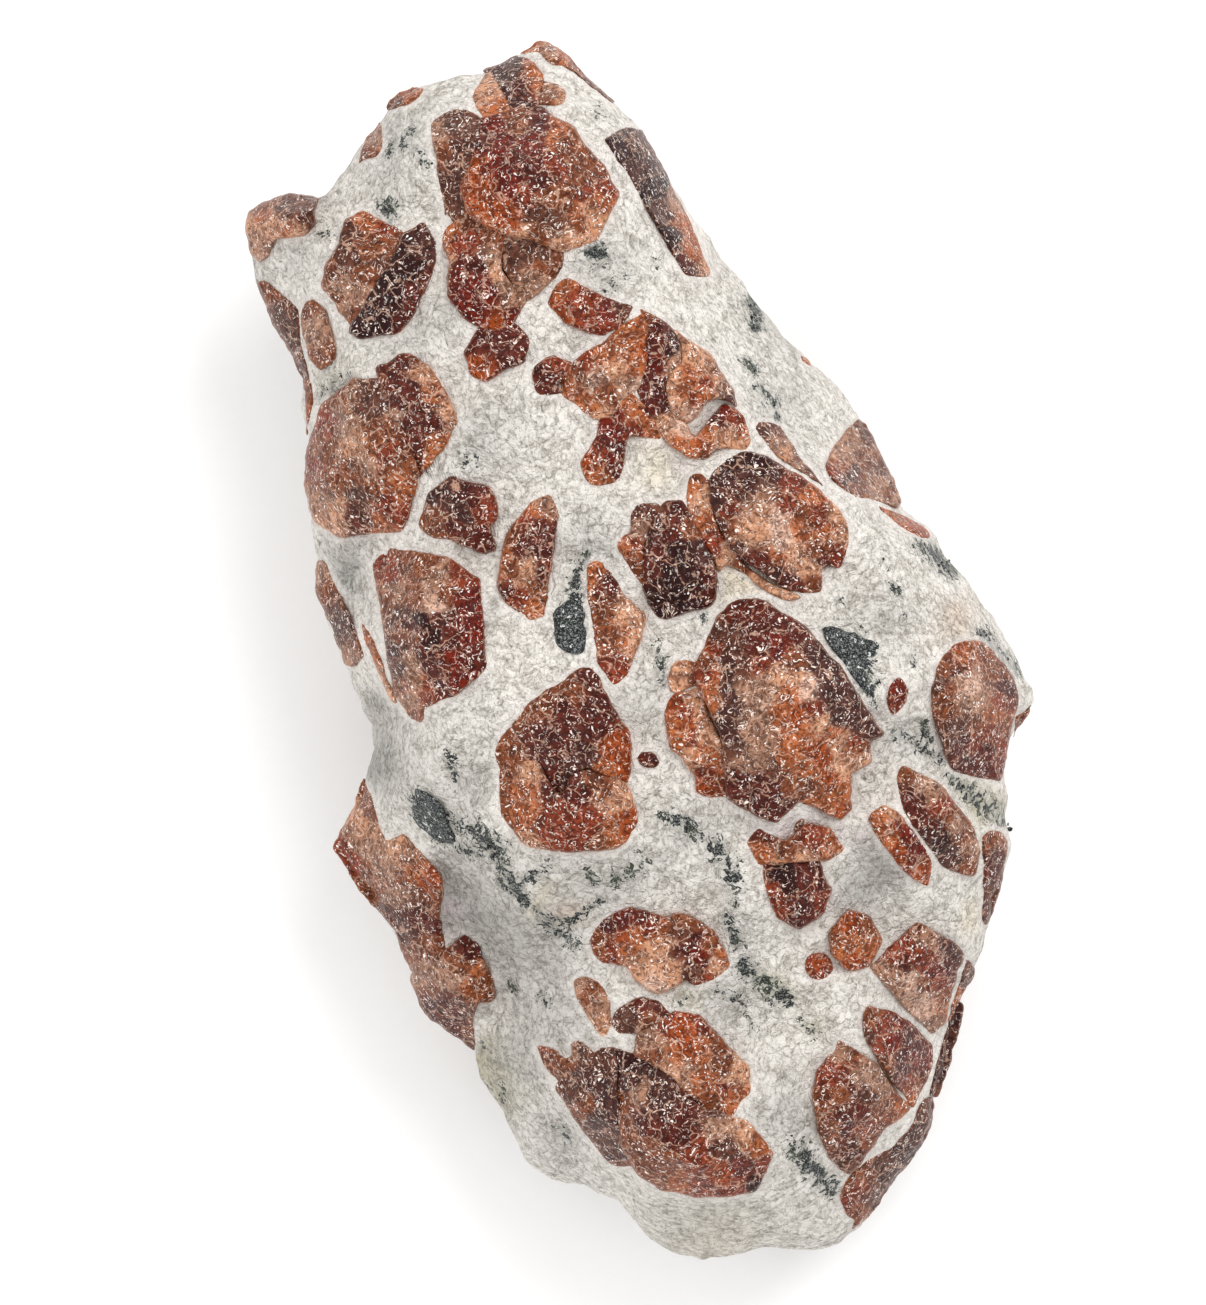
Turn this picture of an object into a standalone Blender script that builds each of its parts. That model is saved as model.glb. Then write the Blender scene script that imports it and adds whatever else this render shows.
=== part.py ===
"""Garnet wollastonite rock, a hand specimen about 110 mm long, lying on its unseen face.

The pale wollastonite matrix is one solid. Every larger garnet and every diopside cluster is a
crystal of its own, seated in a socket of the matrix with a small clear gap all round.

Frame: metres, +Z up, the origin under the middle of the rock on the surface that it rests on.
+X is to the right and +Y towards the top of the rock as it is pictured, seen from straight above.
"""

import math

import bmesh
import bpy
import numpy as np
from mathutils import Vector

# The rock, in metres
ROCK_LENGTH = 0.110
SKIN_INSET = 0.0002  # between the pictured silhouette, which the crystals reach, and the matrix
GRID_CELLS = 24  # facets of the matrix across each face
CREASE_RADIUS = 0.0022  # rounding of the relief between the heights read
EDGE_SHARPNESS = 7.0  # how late the pictured face turns down to the rim
BELLY_SHARPNESS = 5.0  # how late the unseen face turns up to the rim
LEAST_ROUNDING = 0.3  # the rounding that a height read close to the rim counts with
CORE_HEIGHT = 0.017  # of the middle of the rock

# The crystals and their sockets, in metres and in shares of a crystal's size
CLEARANCE = 0.0003  # between two crystals that meet
SOCKET_MARGIN = 0.0003  # between a crystal and the wall of its socket
CRYSTAL_LIP = 0.00035  # least height of a crystal's head above the skin
SMALLEST_DEPTH = 0.0018
LARGEST_DEPTH = 0.0060
DEPTH_SHARE = 0.45  # of the crystal's size, as its depth below the skin
STEEP_DROP = 0.007  # fall of the skin across a crystal from which it is seated shallowly
STEEP_DEPTH = 0.0022
BOTTOM_TAPER = 0.96  # width of a crystal's foot over that of its head
DOME_SHARE = 0.62  # of the crystal's size, as the radius of the dome that its facets touch
HEAD_ROOM = 0.014  # height of the prism that the facets are cut from
OVERCUT = 0.002  # of a socket's cutter above it
FACET_REACH = (0.55, 0.80)  # of the way from the middle to the edge, where the outer facets touch
FACET_SWAY = 0.25  # unevenness of their directions
SMALL_CRYSTAL = 0.005  # sizes below which a head has fewer facets
MEDIUM_CRYSTAL = 0.008
SHARPEST_MITRE = 0.45  # limit on how far a sharp corner moves when an outline grows
RIM_ZONE = 0.0007  # closeness to the silhouette at which a crystal's socket runs out through it
RIM_REACH = 0.0025
SIDE_RISE = 0.0012  # of the crystals on the sides
SIDE_CORNERS = 9
SIDE_UNEVENNESS = 0.12
AROUND_STEP = 0.05  # steps, in radians and in shares of the radius, that the skin's slope is taken over
INWARD_STEP = 0.03
SLOPE_STEP = 0.0002
MERGE_DISTANCE = 0.00002
CUT_TOLERANCE = 0.0000001

MM = 0.001
TURN = 2 * math.pi
SEED = 7

# The picture that the outlines are read from: pixels of the 1206 x 1305 frame
ROCK_LENGTH_PX = 1222
CENTRE_PX = (640.5, 651.0)
METRES_PER_PX = ROCK_LENGTH / ROCK_LENGTH_PX

# The rock's silhouette in pixels, clockwise from its top tip
SILHOUETTE_PX = [
    (540, 40), (561, 51), (578, 70), (600, 87), (614, 101), (641, 131), (657, 157), (686, 208),
    (721, 256), (750, 294), (779, 326), (804, 355), (830, 377), (852, 403), (874, 444), (893, 489),
    (905, 509), (929, 529), (946, 556), (976, 591), (1002, 632), (1020, 664), (1034, 688),
    (1033, 702), (1017, 729), (1006, 752), (1006, 781), (1008, 819), (1011, 845), (1002, 874),
    (993, 901), (984, 942), (976, 971), (964, 995), (952, 1030), (943, 1068), (932, 1100),
    (932, 1127), (920, 1147), (893, 1180), (876, 1206), (860, 1226), (842, 1243), (824, 1251),
    (792, 1252), (757, 1253), (733, 1257), (704, 1262), (675, 1254), (651, 1241), (634, 1221),
    (619, 1201), (598, 1196), (584, 1187), (566, 1187), (543, 1177), (528, 1165), (519, 1147),
    (502, 1112), (480, 1080), (475, 1053), (457, 1036), (440, 1027), (424, 1011), (415, 993),
    (409, 970), (391, 926), (370, 890), (347, 864), (337, 844), (345, 825), (360, 800),
    (366, 780), (371, 750), (370, 725), (358, 705), (344, 665), (330, 627), (315, 589),
    (318, 557), (310, 525), (305, 480), (307, 440), (302, 374), (292, 357), (272, 320),
    (255, 281), (248, 242), (247, 214), (266, 202), (286, 197), (320, 199), (342, 171),
    (356, 152), (384, 118), (393, 101), (412, 91), (432, 82), (463, 73), (494, 70), (519, 56),
]

# Where the silhouette runs, how high the widest line of the rock stands: pixel x, y and millimetres
RIM_HEIGHTS = [
    (540, 40, 24), (470, 72, 25), (380, 125, 23), (330, 185, 22), (250, 215, 20), (255, 290, 18),
    (305, 400, 19), (310, 520, 18), (320, 600, 16), (345, 680, 16), (371, 740, 17), (340, 845, 15),
    (400, 950, 14), (420, 1010, 13), (475, 1050, 14), (505, 1120, 12), (560, 1187, 10.5),
    (620, 1200, 12), (700, 1262, 12), (820, 1251, 12.5), (880, 1200, 13), (932, 1120, 14),
    (955, 1020, 15.5), (985, 930, 18), (1010, 850, 20), (1006, 770, 20), (1034, 692, 17),
    (960, 570, 17), (900, 505, 16.5), (860, 415, 17), (800, 352, 17.5), (700, 235, 19),
    (640, 130, 22), (580, 72, 23.5),
]

# Heights of the pictured face: pixel x, y and millimetres above the surface that it rests on
UPPER_LOBE = [
    (540, 62, 27), (548, 95, 31), (470, 98, 30), (400, 122, 28), (352, 190, 26.5), (290, 208, 26),
    (264, 226, 23.5), (300, 250, 26.5), (335, 232, 29), (400, 170, 31.5), (440, 200, 33.5),
    (540, 180, 37.5), (590, 160, 35), (612, 138, 32.5), (645, 165, 28.5), (690, 255, 27.5),
    (655, 235, 31.5), (620, 230, 35), (600, 300, 36), (700, 305, 31),
]
CREST = [
    (640, 312, 37), (690, 352, 37), (735, 400, 36), (790, 478, 36), (850, 503, 33.5), (925, 545, 25.5),
]
RIGHT_FLANK = [(770, 345, 24.5), (815, 405, 24.5), (850, 445, 23), (882, 485, 22)]
MAIN_FACE = [
    (480, 300, 35), (400, 300, 33), (350, 290, 30), (312, 330, 25), (420, 420, 34), (360, 460, 29.5),
    (322, 470, 24), (500, 420, 36), (600, 450, 37), (700, 430, 37.5), (640, 370, 38),
    (480, 520, 35), (560, 560, 36), (650, 560, 37.5), (760, 520, 38.5), (820, 540, 36),
    (430, 620, 34.5), (390, 640, 31), (362, 600, 24), (500, 640, 35.5), (560, 720, 38),
    (650, 680, 36.5), (720, 640, 38.2), (780, 690, 39.8), (832, 680, 38.4), (856, 645, 36),
    (880, 720, 35.5), (800, 780, 38), (720, 820, 36), (640, 820, 36.5), (570, 800, 37),
    (520, 780, 35.5), (450, 760, 33.5), (420, 740, 31.5), (404, 790, 28), (392, 720, 24),
]
RIGHT_SHOULDER = [
    (920, 640, 32.5), (970, 700, 29), (1010, 690, 22.5), (940, 760, 30.5), (985, 800, 25),
    (930, 820, 31), (890, 830, 33), (860, 790, 34), (830, 830, 34.5), (820, 885, 33.5),
]
STEP_FOOT = [(868, 885, 30.5), (930, 902, 28), (960, 905, 25), (895, 940, 27.5)]
LOWER_RIDGE = [(440, 812, 30), (480, 850, 31.5), (560, 900, 32.5), (620, 900, 33.5), (700, 870, 35)]
LOWER_FACE = [
    (500, 930, 26.5), (560, 962, 28), (522, 1000, 22.5), (600, 1000, 29), (640, 950, 32),
    (740, 960, 33), (800, 960, 31), (850, 940, 30), (930, 970, 23.5), (890, 1030, 25),
    (930, 1030, 19), (860, 1100, 25), (780, 1060, 29), (700, 1060, 31), (690, 1120, 31),
    (640, 1150, 28.5), (580, 1110, 25), (560, 1060, 25), (530, 1110, 18.5), (560, 1155, 16),
    (750, 1180, 27), (740, 1225, 20.5), (690, 1235, 18), (820, 1190, 21.5), (860, 1195, 17.5),
]
LEFT_HOLLOW = [(412, 838, 24.5), (456, 882, 25), (485, 937, 23.5), (512, 1000, 21)]
LEFT_GARNETS = [
    (392, 852, 22.5), (366, 842, 18.5), (420, 900, 23), (396, 915, 18.5), (455, 985, 21),
    (438, 1005, 16.5), (470, 1020, 18),
]

# Heights of the face that it lies on. What falls below zero is cut off, as the flat spot it rests on.
UNDERSIDE = [
    (650, 640, -2.2), (600, 520, -1.8), (700, 790, -1.8), (560, 660, -1.4), (750, 640, -1.2),
    (660, 930, 0.4), (640, 380, 0.5), (560, 300, 1.4), (450, 260, 3), (350, 300, 4.5),
    (300, 250, 7), (640, 200, 3.6), (540, 120, 6), (740, 400, 1.8), (860, 560, 2), (950, 700, 4),
    (900, 880, 2.2), (800, 1010, 1.2), (860, 1120, 3), (700, 1100, 1.6), (600, 1060, 2.4),
    (710, 1200, 3), (500, 950, 2), (420, 860, 3.5), (440, 700, 1.8), (380, 520, 3), (420, 400, 2),
]

# Flat breaks of the unseen face: compass direction in degrees anticlockwise from +X, distance in
# millimetres from the centre line at which the break starts, and its slope in degrees
BREAKS = [
    (-8, 21, 46), (38, 22, 50), (74, 34, 44), (104, 41, 38), (128, 39, 50), (160, 22, 40),
    (186, 17, 50), (214, 24, 42), (246, 37, 44), (275, 44, 35), (302, 43, 44), (333, 26, 46),
]

# Garnets on the pictured face: name, rise above the matrix in millimetres, outline in pixels
FACE_GARNETS = {
    "garnet_left_horn": (1.0, [
        (248, 243), (247, 215), (266, 202), (286, 198), (321, 200), (318, 232), (300, 238), (275, 239),
        (272, 255), (260, 264)]),
    "garnet_top_maroon": (0.9, [
        (494, 76), (517, 58), (538, 71), (546, 84), (540, 94), (532, 104), (518, 108), (503, 104),
        (492, 86)]),
    "garnet_crown": (2.0, [
        (481, 120), (520, 109), (541, 109), (574, 130), (603, 168), (620, 197), (607, 222), (598, 242),
        (565, 256), (530, 243), (505, 238), (482, 228), (466, 214), (460, 190), (470, 165), (477, 145)]),
    "garnet_crown_flank": (0.9, [
        (431, 124), (452, 112), (474, 110), (478, 132), (466, 166), (458, 182), (452, 207), (446, 221),
        (440, 186)]),
    "garnet_red_north": (1.5, [
        (445, 230), (462, 221), (482, 224), (503, 252), (504, 271), (527, 306), (516, 326), (494, 338),
        (464, 322), (446, 294), (450, 264), (441, 246)]),
    "garnet_brown_north": (0.9, [
        (512, 244), (545, 249), (573, 259), (556, 280), (536, 300), (516, 285), (507, 264)]),
    "garnet_small_maroon": (0.9, [
        (463, 354), (472, 340), (496, 339), (520, 325), (529, 341), (526, 365), (506, 373), (488, 385),
        (472, 377)]),
    "garnet_brown_west": (1.1, [
        (345, 222), (362, 211), (396, 228), (402, 236), (388, 262), (368, 292), (352, 322), (344, 336),
        (336, 306), (321, 288), (326, 266), (340, 245)]),
    "garnet_dark_west": (1.2, [
        (404, 234), (424, 224), (438, 244), (438, 260), (427, 292), (410, 325), (396, 337), (362, 341),
        (347, 334), (370, 293), (390, 263)]),
    "garnet_west_small": (0.8, [
        (303, 303), (315, 299), (327, 310), (338, 346), (334, 364), (321, 373), (309, 358), (301, 325)]),
    "garnet_shoulder_side": (0.6, [
        (256, 281), (267, 281), (300, 308), (303, 345), (310, 378), (305, 384), (292, 357), (272, 320)]),
    "garnet_dark_oval": (1.1, [
        (376, 368), (408, 354), (430, 366), (450, 400), (459, 422), (449, 445), (433, 465), (420, 480),
        (409, 455), (388, 414), (381, 392)]),
    "garnet_west_large": (1.4, [
        (354, 377), (375, 386), (385, 412), (404, 450), (418, 482), (413, 512), (404, 534), (376, 534),
        (340, 539), (312, 522), (304, 482), (308, 440), (322, 405)]),
    "garnet_west_middle": (1.1, [
        (418, 526), (427, 495), (452, 477), (492, 488), (500, 508), (493, 530), (497, 550), (484, 556),
        (452, 541), (434, 540)]),
    "garnet_middle_maroon": (1.3, [
        (506, 532), (532, 502), (550, 494), (559, 512), (555, 550), (548, 592), (546, 616), (532, 621),
        (505, 604), (497, 590), (501, 558)]),
    "garnet_west_block": (1.4, [
        (373, 562), (391, 548), (447, 556), (481, 580), (486, 640), (488, 668), (460, 694), (427, 708),
        (424, 724), (408, 716), (394, 690), (383, 632)]),
    "garnet_long_orange": (1.0, [
        (588, 562), (600, 560), (618, 582), (622, 596), (648, 614), (640, 645), (628, 676), (614, 686),
        (598, 664), (591, 620), (586, 584)]),
    "garnet_red_triangle": (0.9, [
        (628, 399), (644, 414), (660, 437), (627, 437), (622, 478), (604, 490), (588, 474), (581, 462),
        (606, 427)]),
    "garnet_fan_orange": (1.2, [
        (561, 378), (577, 358), (605, 342), (632, 318), (641, 318), (646, 340), (640, 368), (634, 386),
        (613, 420), (592, 422), (578, 408), (561, 399)]),
    "garnet_fan_dark": (1.1, [
        (645, 316), (652, 313), (672, 326), (681, 340), (680, 366), (666, 390), (658, 416), (641, 401),
        (639, 388), (646, 364), (650, 338)]),
    "garnet_fan_right": (0.9, [
        (685, 344), (708, 356), (726, 382), (735, 407), (718, 399), (690, 420), (668, 406), (668, 392),
        (684, 364)]),
    "garnet_fan_lower": (0.8, [
        (663, 424), (686, 424), (700, 429), (723, 405), (745, 424), (748, 446), (715, 460), (690, 461),
        (664, 441)]),
    "garnet_dark_middle": (1.5, [
        (651, 525), (660, 509), (681, 503), (698, 524), (708, 552), (716, 576), (710, 602), (686, 615),
        (664, 619), (648, 598), (645, 560)]),
    "garnet_curved_sliver": (0.7, [
        (687, 486), (703, 476), (714, 518), (729, 549), (764, 585), (796, 603), (770, 599), (745, 575),
        (722, 561), (713, 568), (704, 545), (694, 512)]),
    "garnet_right_oval": (1.6, [
        (711, 480), (732, 457), (750, 453), (779, 465), (817, 491), (838, 514), (846, 540), (838, 567),
        (820, 572), (820, 591), (786, 590), (752, 568), (722, 538), (710, 504)]),
    "garnet_flank_brown": (0.9, [
        (822, 465), (836, 438), (857, 420), (877, 456), (893, 488), (906, 511), (884, 503), (862, 498),
        (838, 489)]),
    "garnet_centre": (2.4, [
        (716, 615), (735, 600), (758, 597), (804, 624), (843, 672), (884, 735), (868, 740), (871, 764),
        (849, 773), (851, 808), (840, 821), (798, 801), (776, 822), (750, 814), (724, 797), (721, 742),
        (703, 702), (691, 671)]),
    "garnet_centre_strip": (0.9, [
        (669, 694), (696, 692), (706, 712), (718, 742), (720, 797), (696, 792), (696, 774), (664, 742),
        (666, 712)]),
    "garnet_big_dark": (1.9, [
        (496, 750), (532, 704), (562, 684), (586, 665), (602, 685), (618, 713), (632, 752), (626, 775),
        (585, 762), (560, 771), (535, 758), (504, 780)]),
    "garnet_big_orange": (1.7, [
        (502, 786), (536, 762), (560, 775), (585, 766), (624, 781), (637, 812), (622, 843), (590, 853),
        (545, 847), (522, 843), (502, 815)]),
    "garnet_west_flank": (1.2, [
        (361, 798), (368, 786), (378, 812), (386, 842), (402, 828), (430, 862), (443, 890), (440, 940),
        (424, 965), (409, 966), (391, 926), (364, 886), (337, 845), (346, 824)]),
    "garnet_southwest_flank": (1.0, [
        (416, 968), (441, 960), (462, 936), (477, 944), (497, 998), (468, 1005), (473, 1040),
        (462, 1041), (424, 1011)]),
    "garnet_south_oval": (1.3, [
        (590, 940), (606, 915), (637, 906), (685, 912), (712, 937), (729, 963), (708, 980), (684, 979),
        (662, 994), (640, 980), (628, 964), (598, 955)]),
    "garnet_south_orange": (1.4, [
        (636, 1030), (672, 1009), (700, 1013), (718, 1035), (750, 1065), (750, 1092), (722, 1111),
        (700, 1098), (666, 1062), (636, 1048)]),
    "garnet_south_large": (1.9, [
        (615, 1046), (637, 1053), (664, 1066), (700, 1102), (750, 1120), (774, 1150), (756, 1192),
        (710, 1198), (660, 1190), (636, 1172), (619, 1140), (614, 1092)]),
    "garnet_south_side": (0.9, [
        (600, 1045), (610, 1046), (609, 1100), (615, 1140), (634, 1181), (606, 1160), (572, 1115),
        (554, 1085)]),
    "garnet_southeast": (1.4, [
        (836, 1046), (845, 1039), (878, 1065), (898, 1088), (915, 1098), (886, 1122), (868, 1152),
        (848, 1173), (824, 1146), (812, 1092), (820, 1062)]),
    "garnet_east_red": (1.3, [
        (866, 1003), (895, 1013), (932, 1045), (932, 1064), (919, 1093), (901, 1084), (880, 1060),
        (861, 1024)]),
    "garnet_east_brown": (1.2, [
        (868, 967), (892, 942), (916, 920), (956, 942), (965, 953), (950, 1000), (946, 1022),
        (932, 1034), (896, 998)]),
    "garnet_round": (1.2, [
        (826, 930), (848, 909), (870, 915), (883, 942), (870, 966), (848, 971), (830, 954)]),
    "garnet_lower_orange": (1.1, [
        (745, 842), (756, 825), (784, 840), (806, 819), (830, 826), (845, 848), (826, 861), (790, 864),
        (757, 864)]),
    "garnet_lower_dark": (1.2, [
        (758, 871), (786, 869), (816, 866), (832, 888), (824, 912), (798, 930), (776, 916)]),
    "garnet_east_orange": (1.0, [
        (865, 818), (882, 803), (899, 810), (931, 858), (927, 887), (904, 872), (880, 844)]),
    "garnet_east_long": (1.2, [
        (893, 776), (900, 764), (938, 782), (970, 820), (980, 850), (974, 876), (940, 866), (902, 814)]),
    "garnet_east_egg": (1.5, [
        (929, 700), (934, 672), (950, 647), (975, 640), (1006, 672), (1015, 700), (1004, 750),
        (1002, 779), (966, 772), (946, 752)]),
    "garnet_east_edge": (0.7, [
        (979, 838), (984, 827), (1000, 829), (1011, 847), (999, 884), (993, 920), (984, 937),
        (985, 880)]),
    "garnet_southeast_edge": (0.8, [
        (843, 1200), (858, 1173), (888, 1150), (922, 1101), (932, 1105), (932, 1126), (893, 1180),
        (866, 1215), (848, 1213)]),
    "garnet_upper_flank": (0.9, [
        (603, 142), (628, 127), (642, 131), (678, 196), (720, 256), (708, 280), (684, 277), (655, 228),
        (630, 182)]),
    "garnet_upper_orange": (1.1, [
        (547, 306), (556, 286), (568, 279), (603, 299), (635, 308), (622, 330), (600, 339), (566, 327)]),
    "garnet_west_edge": (0.7, [
        (317, 560), (325, 560), (350, 612), (366, 656), (356, 668), (345, 666), (330, 627), (315, 589)]),
}

# Garnets on the sides, seen only from around the rock: name, direction from the middle in degrees
# anticlockwise from +X, place between rim (0) and centre of the face below (-1), width and height
# in millimetres, and turn in degrees
SIDE_GARNETS = {
    "garnet_side_east": (8, -0.10, 13, 8, 20),
    "garnet_side_north": (62, -0.12, 11, 7.5, -15),
    "garnet_side_northwest": (118, -0.14, 12, 8, 30),
    "garnet_side_west": (196, -0.10, 10, 7, -25),
    "garnet_side_southwest": (252, -0.12, 10, 6, 15),
    "garnet_side_south": (282, -0.12, 12, 7, 10),
}

# Diopside clusters: name, rise in millimetres, outline in pixels
DIOPSIDE_CLUSTERS = {
    "diopside_middle": (0.5, [
        (562, 604), (580, 601), (583, 625), (587, 638), (583, 654), (566, 648), (555, 630)]),
    "diopside_centre_right": (0.6, [
        (821, 630), (846, 628), (878, 643), (866, 664), (869, 700), (860, 696), (842, 668)]),
    "diopside_west": (0.5, [
        (413, 796), (421, 789), (443, 806), (455, 838), (438, 843), (410, 820)]),
}

# Colours of the pieces as linear red, green and blue
MATRIX_COLOUR = (0.72, 0.69, 0.64)
GARNET_COLOUR = (0.20, 0.045, 0.020)
DIOPSIDE_COLOUR = (0.025, 0.035, 0.022)
MATRIX_ROUGHNESS = 0.75
GARNET_ROUGHNESS = 0.35
DIOPSIDE_ROUGHNESS = 0.6


def clear_scene():
    """Takes every object out of the scene."""
    for old in list(bpy.data.objects):
        bpy.data.objects.remove(old, do_unlink=True)


def to_metres(pixels):
    """Pixel points of the picture as an array of x and y in metres."""
    points = np.array(pixels, float)[:, :2]
    flat = np.empty_like(points)
    flat[:, 0] = (points[:, 0] - CENTRE_PX[0]) * METRES_PER_PX
    flat[:, 1] = (CENTRE_PX[1] - points[:, 1]) * METRES_PER_PX
    return flat


def polar_table(pixels):
    """Angles in rising order and distances from the centre, both repeated past the two ends, and the
    order of the pixel points."""
    flat = to_metres(pixels)
    angles = np.arctan2(flat[:, 1], flat[:, 0])
    order = np.argsort(angles)
    angles = angles[order]
    table = np.concatenate([angles - TURN, angles, angles + TURN])
    return table, np.tile(np.hypot(*flat[order].T), 3), order


SILHOUETTE_ANGLES, SILHOUETTE_RADII, _ = polar_table(SILHOUETTE_PX)
RIM_ANGLES, _, RIM_ORDER = polar_table(RIM_HEIGHTS)
RIM_LEVELS = np.tile(np.array(RIM_HEIGHTS)[RIM_ORDER, 2] * MM, 3)


def outline_radius(angle):
    """How far the matrix reaches from the centre line in a direction."""
    return np.interp(angle, SILHOUETTE_ANGLES, SILHOUETTE_RADII) - SKIN_INSET


def rim_height(angle):
    """Height of the widest line of the rock in a direction."""
    return np.interp(angle, RIM_ANGLES, RIM_LEVELS)


def rounding(share, sharpness):
    """Square root of 1 - share**sharpness: 1 in the middle, falling steeply to 0 at the rim."""
    return np.sqrt(np.clip(1 - np.clip(share, 0, 1) ** sharpness, 0, 1))


def break_level(x, y):
    """Height of the highest flat break over points x, y: each rises outwards from its own foot."""
    levels = [
        math.tan(math.radians(slope))
        * (x * math.cos(math.radians(turn)) + y * math.sin(math.radians(turn)) - start * MM)
        for turn, start, slope in BREAKS
    ]
    return np.max(levels, axis=0)


class Face:
    """A face of the rock: level = rim + (relief - rim) * rounding, with the relief a sum of cones
    sqrt(distance**2 + crease**2) and a plane that together pass through the heights read."""

    def __init__(self, landmarks, sharpness):
        self.sharpness = sharpness
        self.places = to_metres(landmarks)
        levels = np.array(landmarks)[:, 2] * MM
        share, rim = self.share_and_rim(*self.places.T)
        relief = rim + (levels - rim) / np.maximum(rounding(share, sharpness), LEAST_ROUNDING)
        count = len(levels)
        plane = np.column_stack([np.ones(count), self.places / ROCK_LENGTH])
        system = np.zeros((count + 3, count + 3))
        system[:count, :count] = self.cones(*self.places.T)
        system[:count, count:] = plane
        system[count:, :count] = plane.T
        self.weights = np.linalg.solve(system, np.append(relief, [0, 0, 0]))

    def cones(self, x, y):
        gap = np.hypot(np.subtract.outer(x, self.places[:, 0]), np.subtract.outer(y, self.places[:, 1]))
        return np.hypot(gap, CREASE_RADIUS)

    @staticmethod
    def share_and_rim(x, y):
        angle = np.arctan2(y, x)
        return np.hypot(x, y) / outline_radius(angle), rim_height(angle)

    def level(self, x, y):
        """Height of the face over points x, y."""
        x, y = np.broadcast_arrays(np.asarray(x, float), np.asarray(y, float))
        share, rim = self.share_and_rim(x, y)
        relief = self.cones(x, y) @ self.weights[:-3]
        relief = relief + self.weights[-3] + (self.weights[-2] * x + self.weights[-1] * y) / ROCK_LENGTH
        return rim + (relief - rim) * rounding(share, self.sharpness)


TOP = Face(
    UPPER_LOBE + CREST + RIGHT_FLANK + MAIN_FACE + RIGHT_SHOULDER + STEP_FOOT
    + LOWER_RIDGE + LOWER_FACE + LEFT_HOLLOW + LEFT_GARNETS,
    EDGE_SHARPNESS,
)
BELLY = Face(UNDERSIDE, BELLY_SHARPNESS)


def belly_level(x, y):
    """Height of the face that the rock lies on: its own relief or its breaks, whichever is higher,
    and never above the rim."""
    _, rim = Face.share_and_rim(x, y)
    return np.minimum(np.maximum(BELLY.level(x, y), break_level(x, y)), rim)


def principled(name, colour, roughness):
    """A Principled material of one colour."""
    material = bpy.data.materials.new(name)
    material.use_nodes = True
    shader = material.node_tree.nodes["Principled BSDF"]
    shader.inputs["Base Color"].default_value = (*colour, 1)
    shader.inputs["Roughness"].default_value = roughness
    shader.inputs["Metallic"].default_value = 0.0
    return material


def object_from(name, mesh_data, material):
    """Puts a bmesh into the scene as a named object with its faces pointing out."""
    bmesh.ops.recalc_face_normals(mesh_data, faces=mesh_data.faces)
    mesh = bpy.data.meshes.new(name)
    mesh_data.to_mesh(mesh)
    mesh_data.free()
    piece = bpy.data.objects.new(name, mesh)
    bpy.context.scene.collection.objects.link(piece)
    if material:
        mesh.materials.append(material)
    return piece


def disc_grid(cells):
    """Unit-disc coordinates of a square grid: u = x sqrt(1 - y**2 / 2), v = y sqrt(1 - x**2 / 2)."""
    x, y = np.meshgrid(np.linspace(-1, 1, cells + 1), np.linspace(-1, 1, cells + 1))
    return x * np.sqrt(1 - y**2 / 2), y * np.sqrt(1 - x**2 / 2)


def matrix_solid(material):
    """The matrix before its sockets: two faces on one square grid, joined at the silhouette, with
    the flat spot cut where the lower face would pass below zero."""
    u, v = disc_grid(GRID_CELLS)
    share = np.minimum(np.hypot(u, v), 1)
    angle = np.arctan2(v, u)
    radius = outline_radius(angle)
    x = share * radius * np.cos(angle)
    y = share * radius * np.sin(angle)
    solid = bmesh.new()
    rows = range(GRID_CELLS + 1)
    sheets = {}
    for face, levels in (("top", TOP.level(x, y)), ("belly", belly_level(x, y))):
        for row in rows:
            for column in rows:
                edge = row in (0, GRID_CELLS) or column in (0, GRID_CELLS)
                if edge and face == "belly":
                    sheets[face, row, column] = sheets["top", row, column]
                    continue
                place = (x[row, column], y[row, column], levels[row, column])
                sheets[face, row, column] = solid.verts.new(place)
    for face in ("top", "belly"):
        for row in rows[:-1]:
            for column in rows[:-1]:
                corners = [(row, column), (row, column + 1), (row + 1, column + 1), (row + 1, column)]
                loop = [sheets[(face, *corner)] for corner in corners]
                solid.faces.new(loop if face == "top" else loop[::-1])
    bmesh.ops.triangulate(solid, faces=solid.faces)
    cut(solid, (0, 0, 0), (0, 0, -1))
    return object_from("wollastonite_matrix", solid, material)


def cut(solid, point, normal):
    """Cuts away the side of a plane that its normal points to, and closes the cut."""
    everything = solid.verts[:] + solid.edges[:] + solid.faces[:]
    bmesh.ops.bisect_plane(
        solid, geom=everything, dist=CUT_TOLERANCE, plane_co=point, plane_no=normal, clear_outer=True
    )
    open_edges = [edge for edge in solid.edges if edge.is_boundary]
    if open_edges:
        bmesh.ops.edgeloop_fill(solid, edges=open_edges)


def signed_area(flat):
    x, y = flat.T
    return 0.5 * np.sum(x * np.roll(y, -1) - np.roll(x, -1) * y)


def grown(flat, distance):
    """An outline moved outwards by a distance, along the mitre of each corner."""
    edges = np.roll(flat, -1, axis=0) - flat
    edges /= np.linalg.norm(edges, axis=1)[:, None]
    normals = np.column_stack([edges[:, 1], -edges[:, 0]])
    before = np.roll(normals, 1, axis=0)
    opening = np.maximum(1 + np.sum(normals * before, axis=1), SHARPEST_MITRE)
    mitre = (normals + before) / opening[:, None]
    return flat + mitre * distance


def middle_of(flat):
    """Centroid of an outline's area."""
    x, y = flat.T
    ahead_x, ahead_y = np.roll(x, -1), np.roll(y, -1)
    cross = x * ahead_y - ahead_x * y
    return np.array([np.sum((x + ahead_x) * cross), np.sum((y + ahead_y) * cross)]) / (3 * np.sum(cross))


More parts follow.
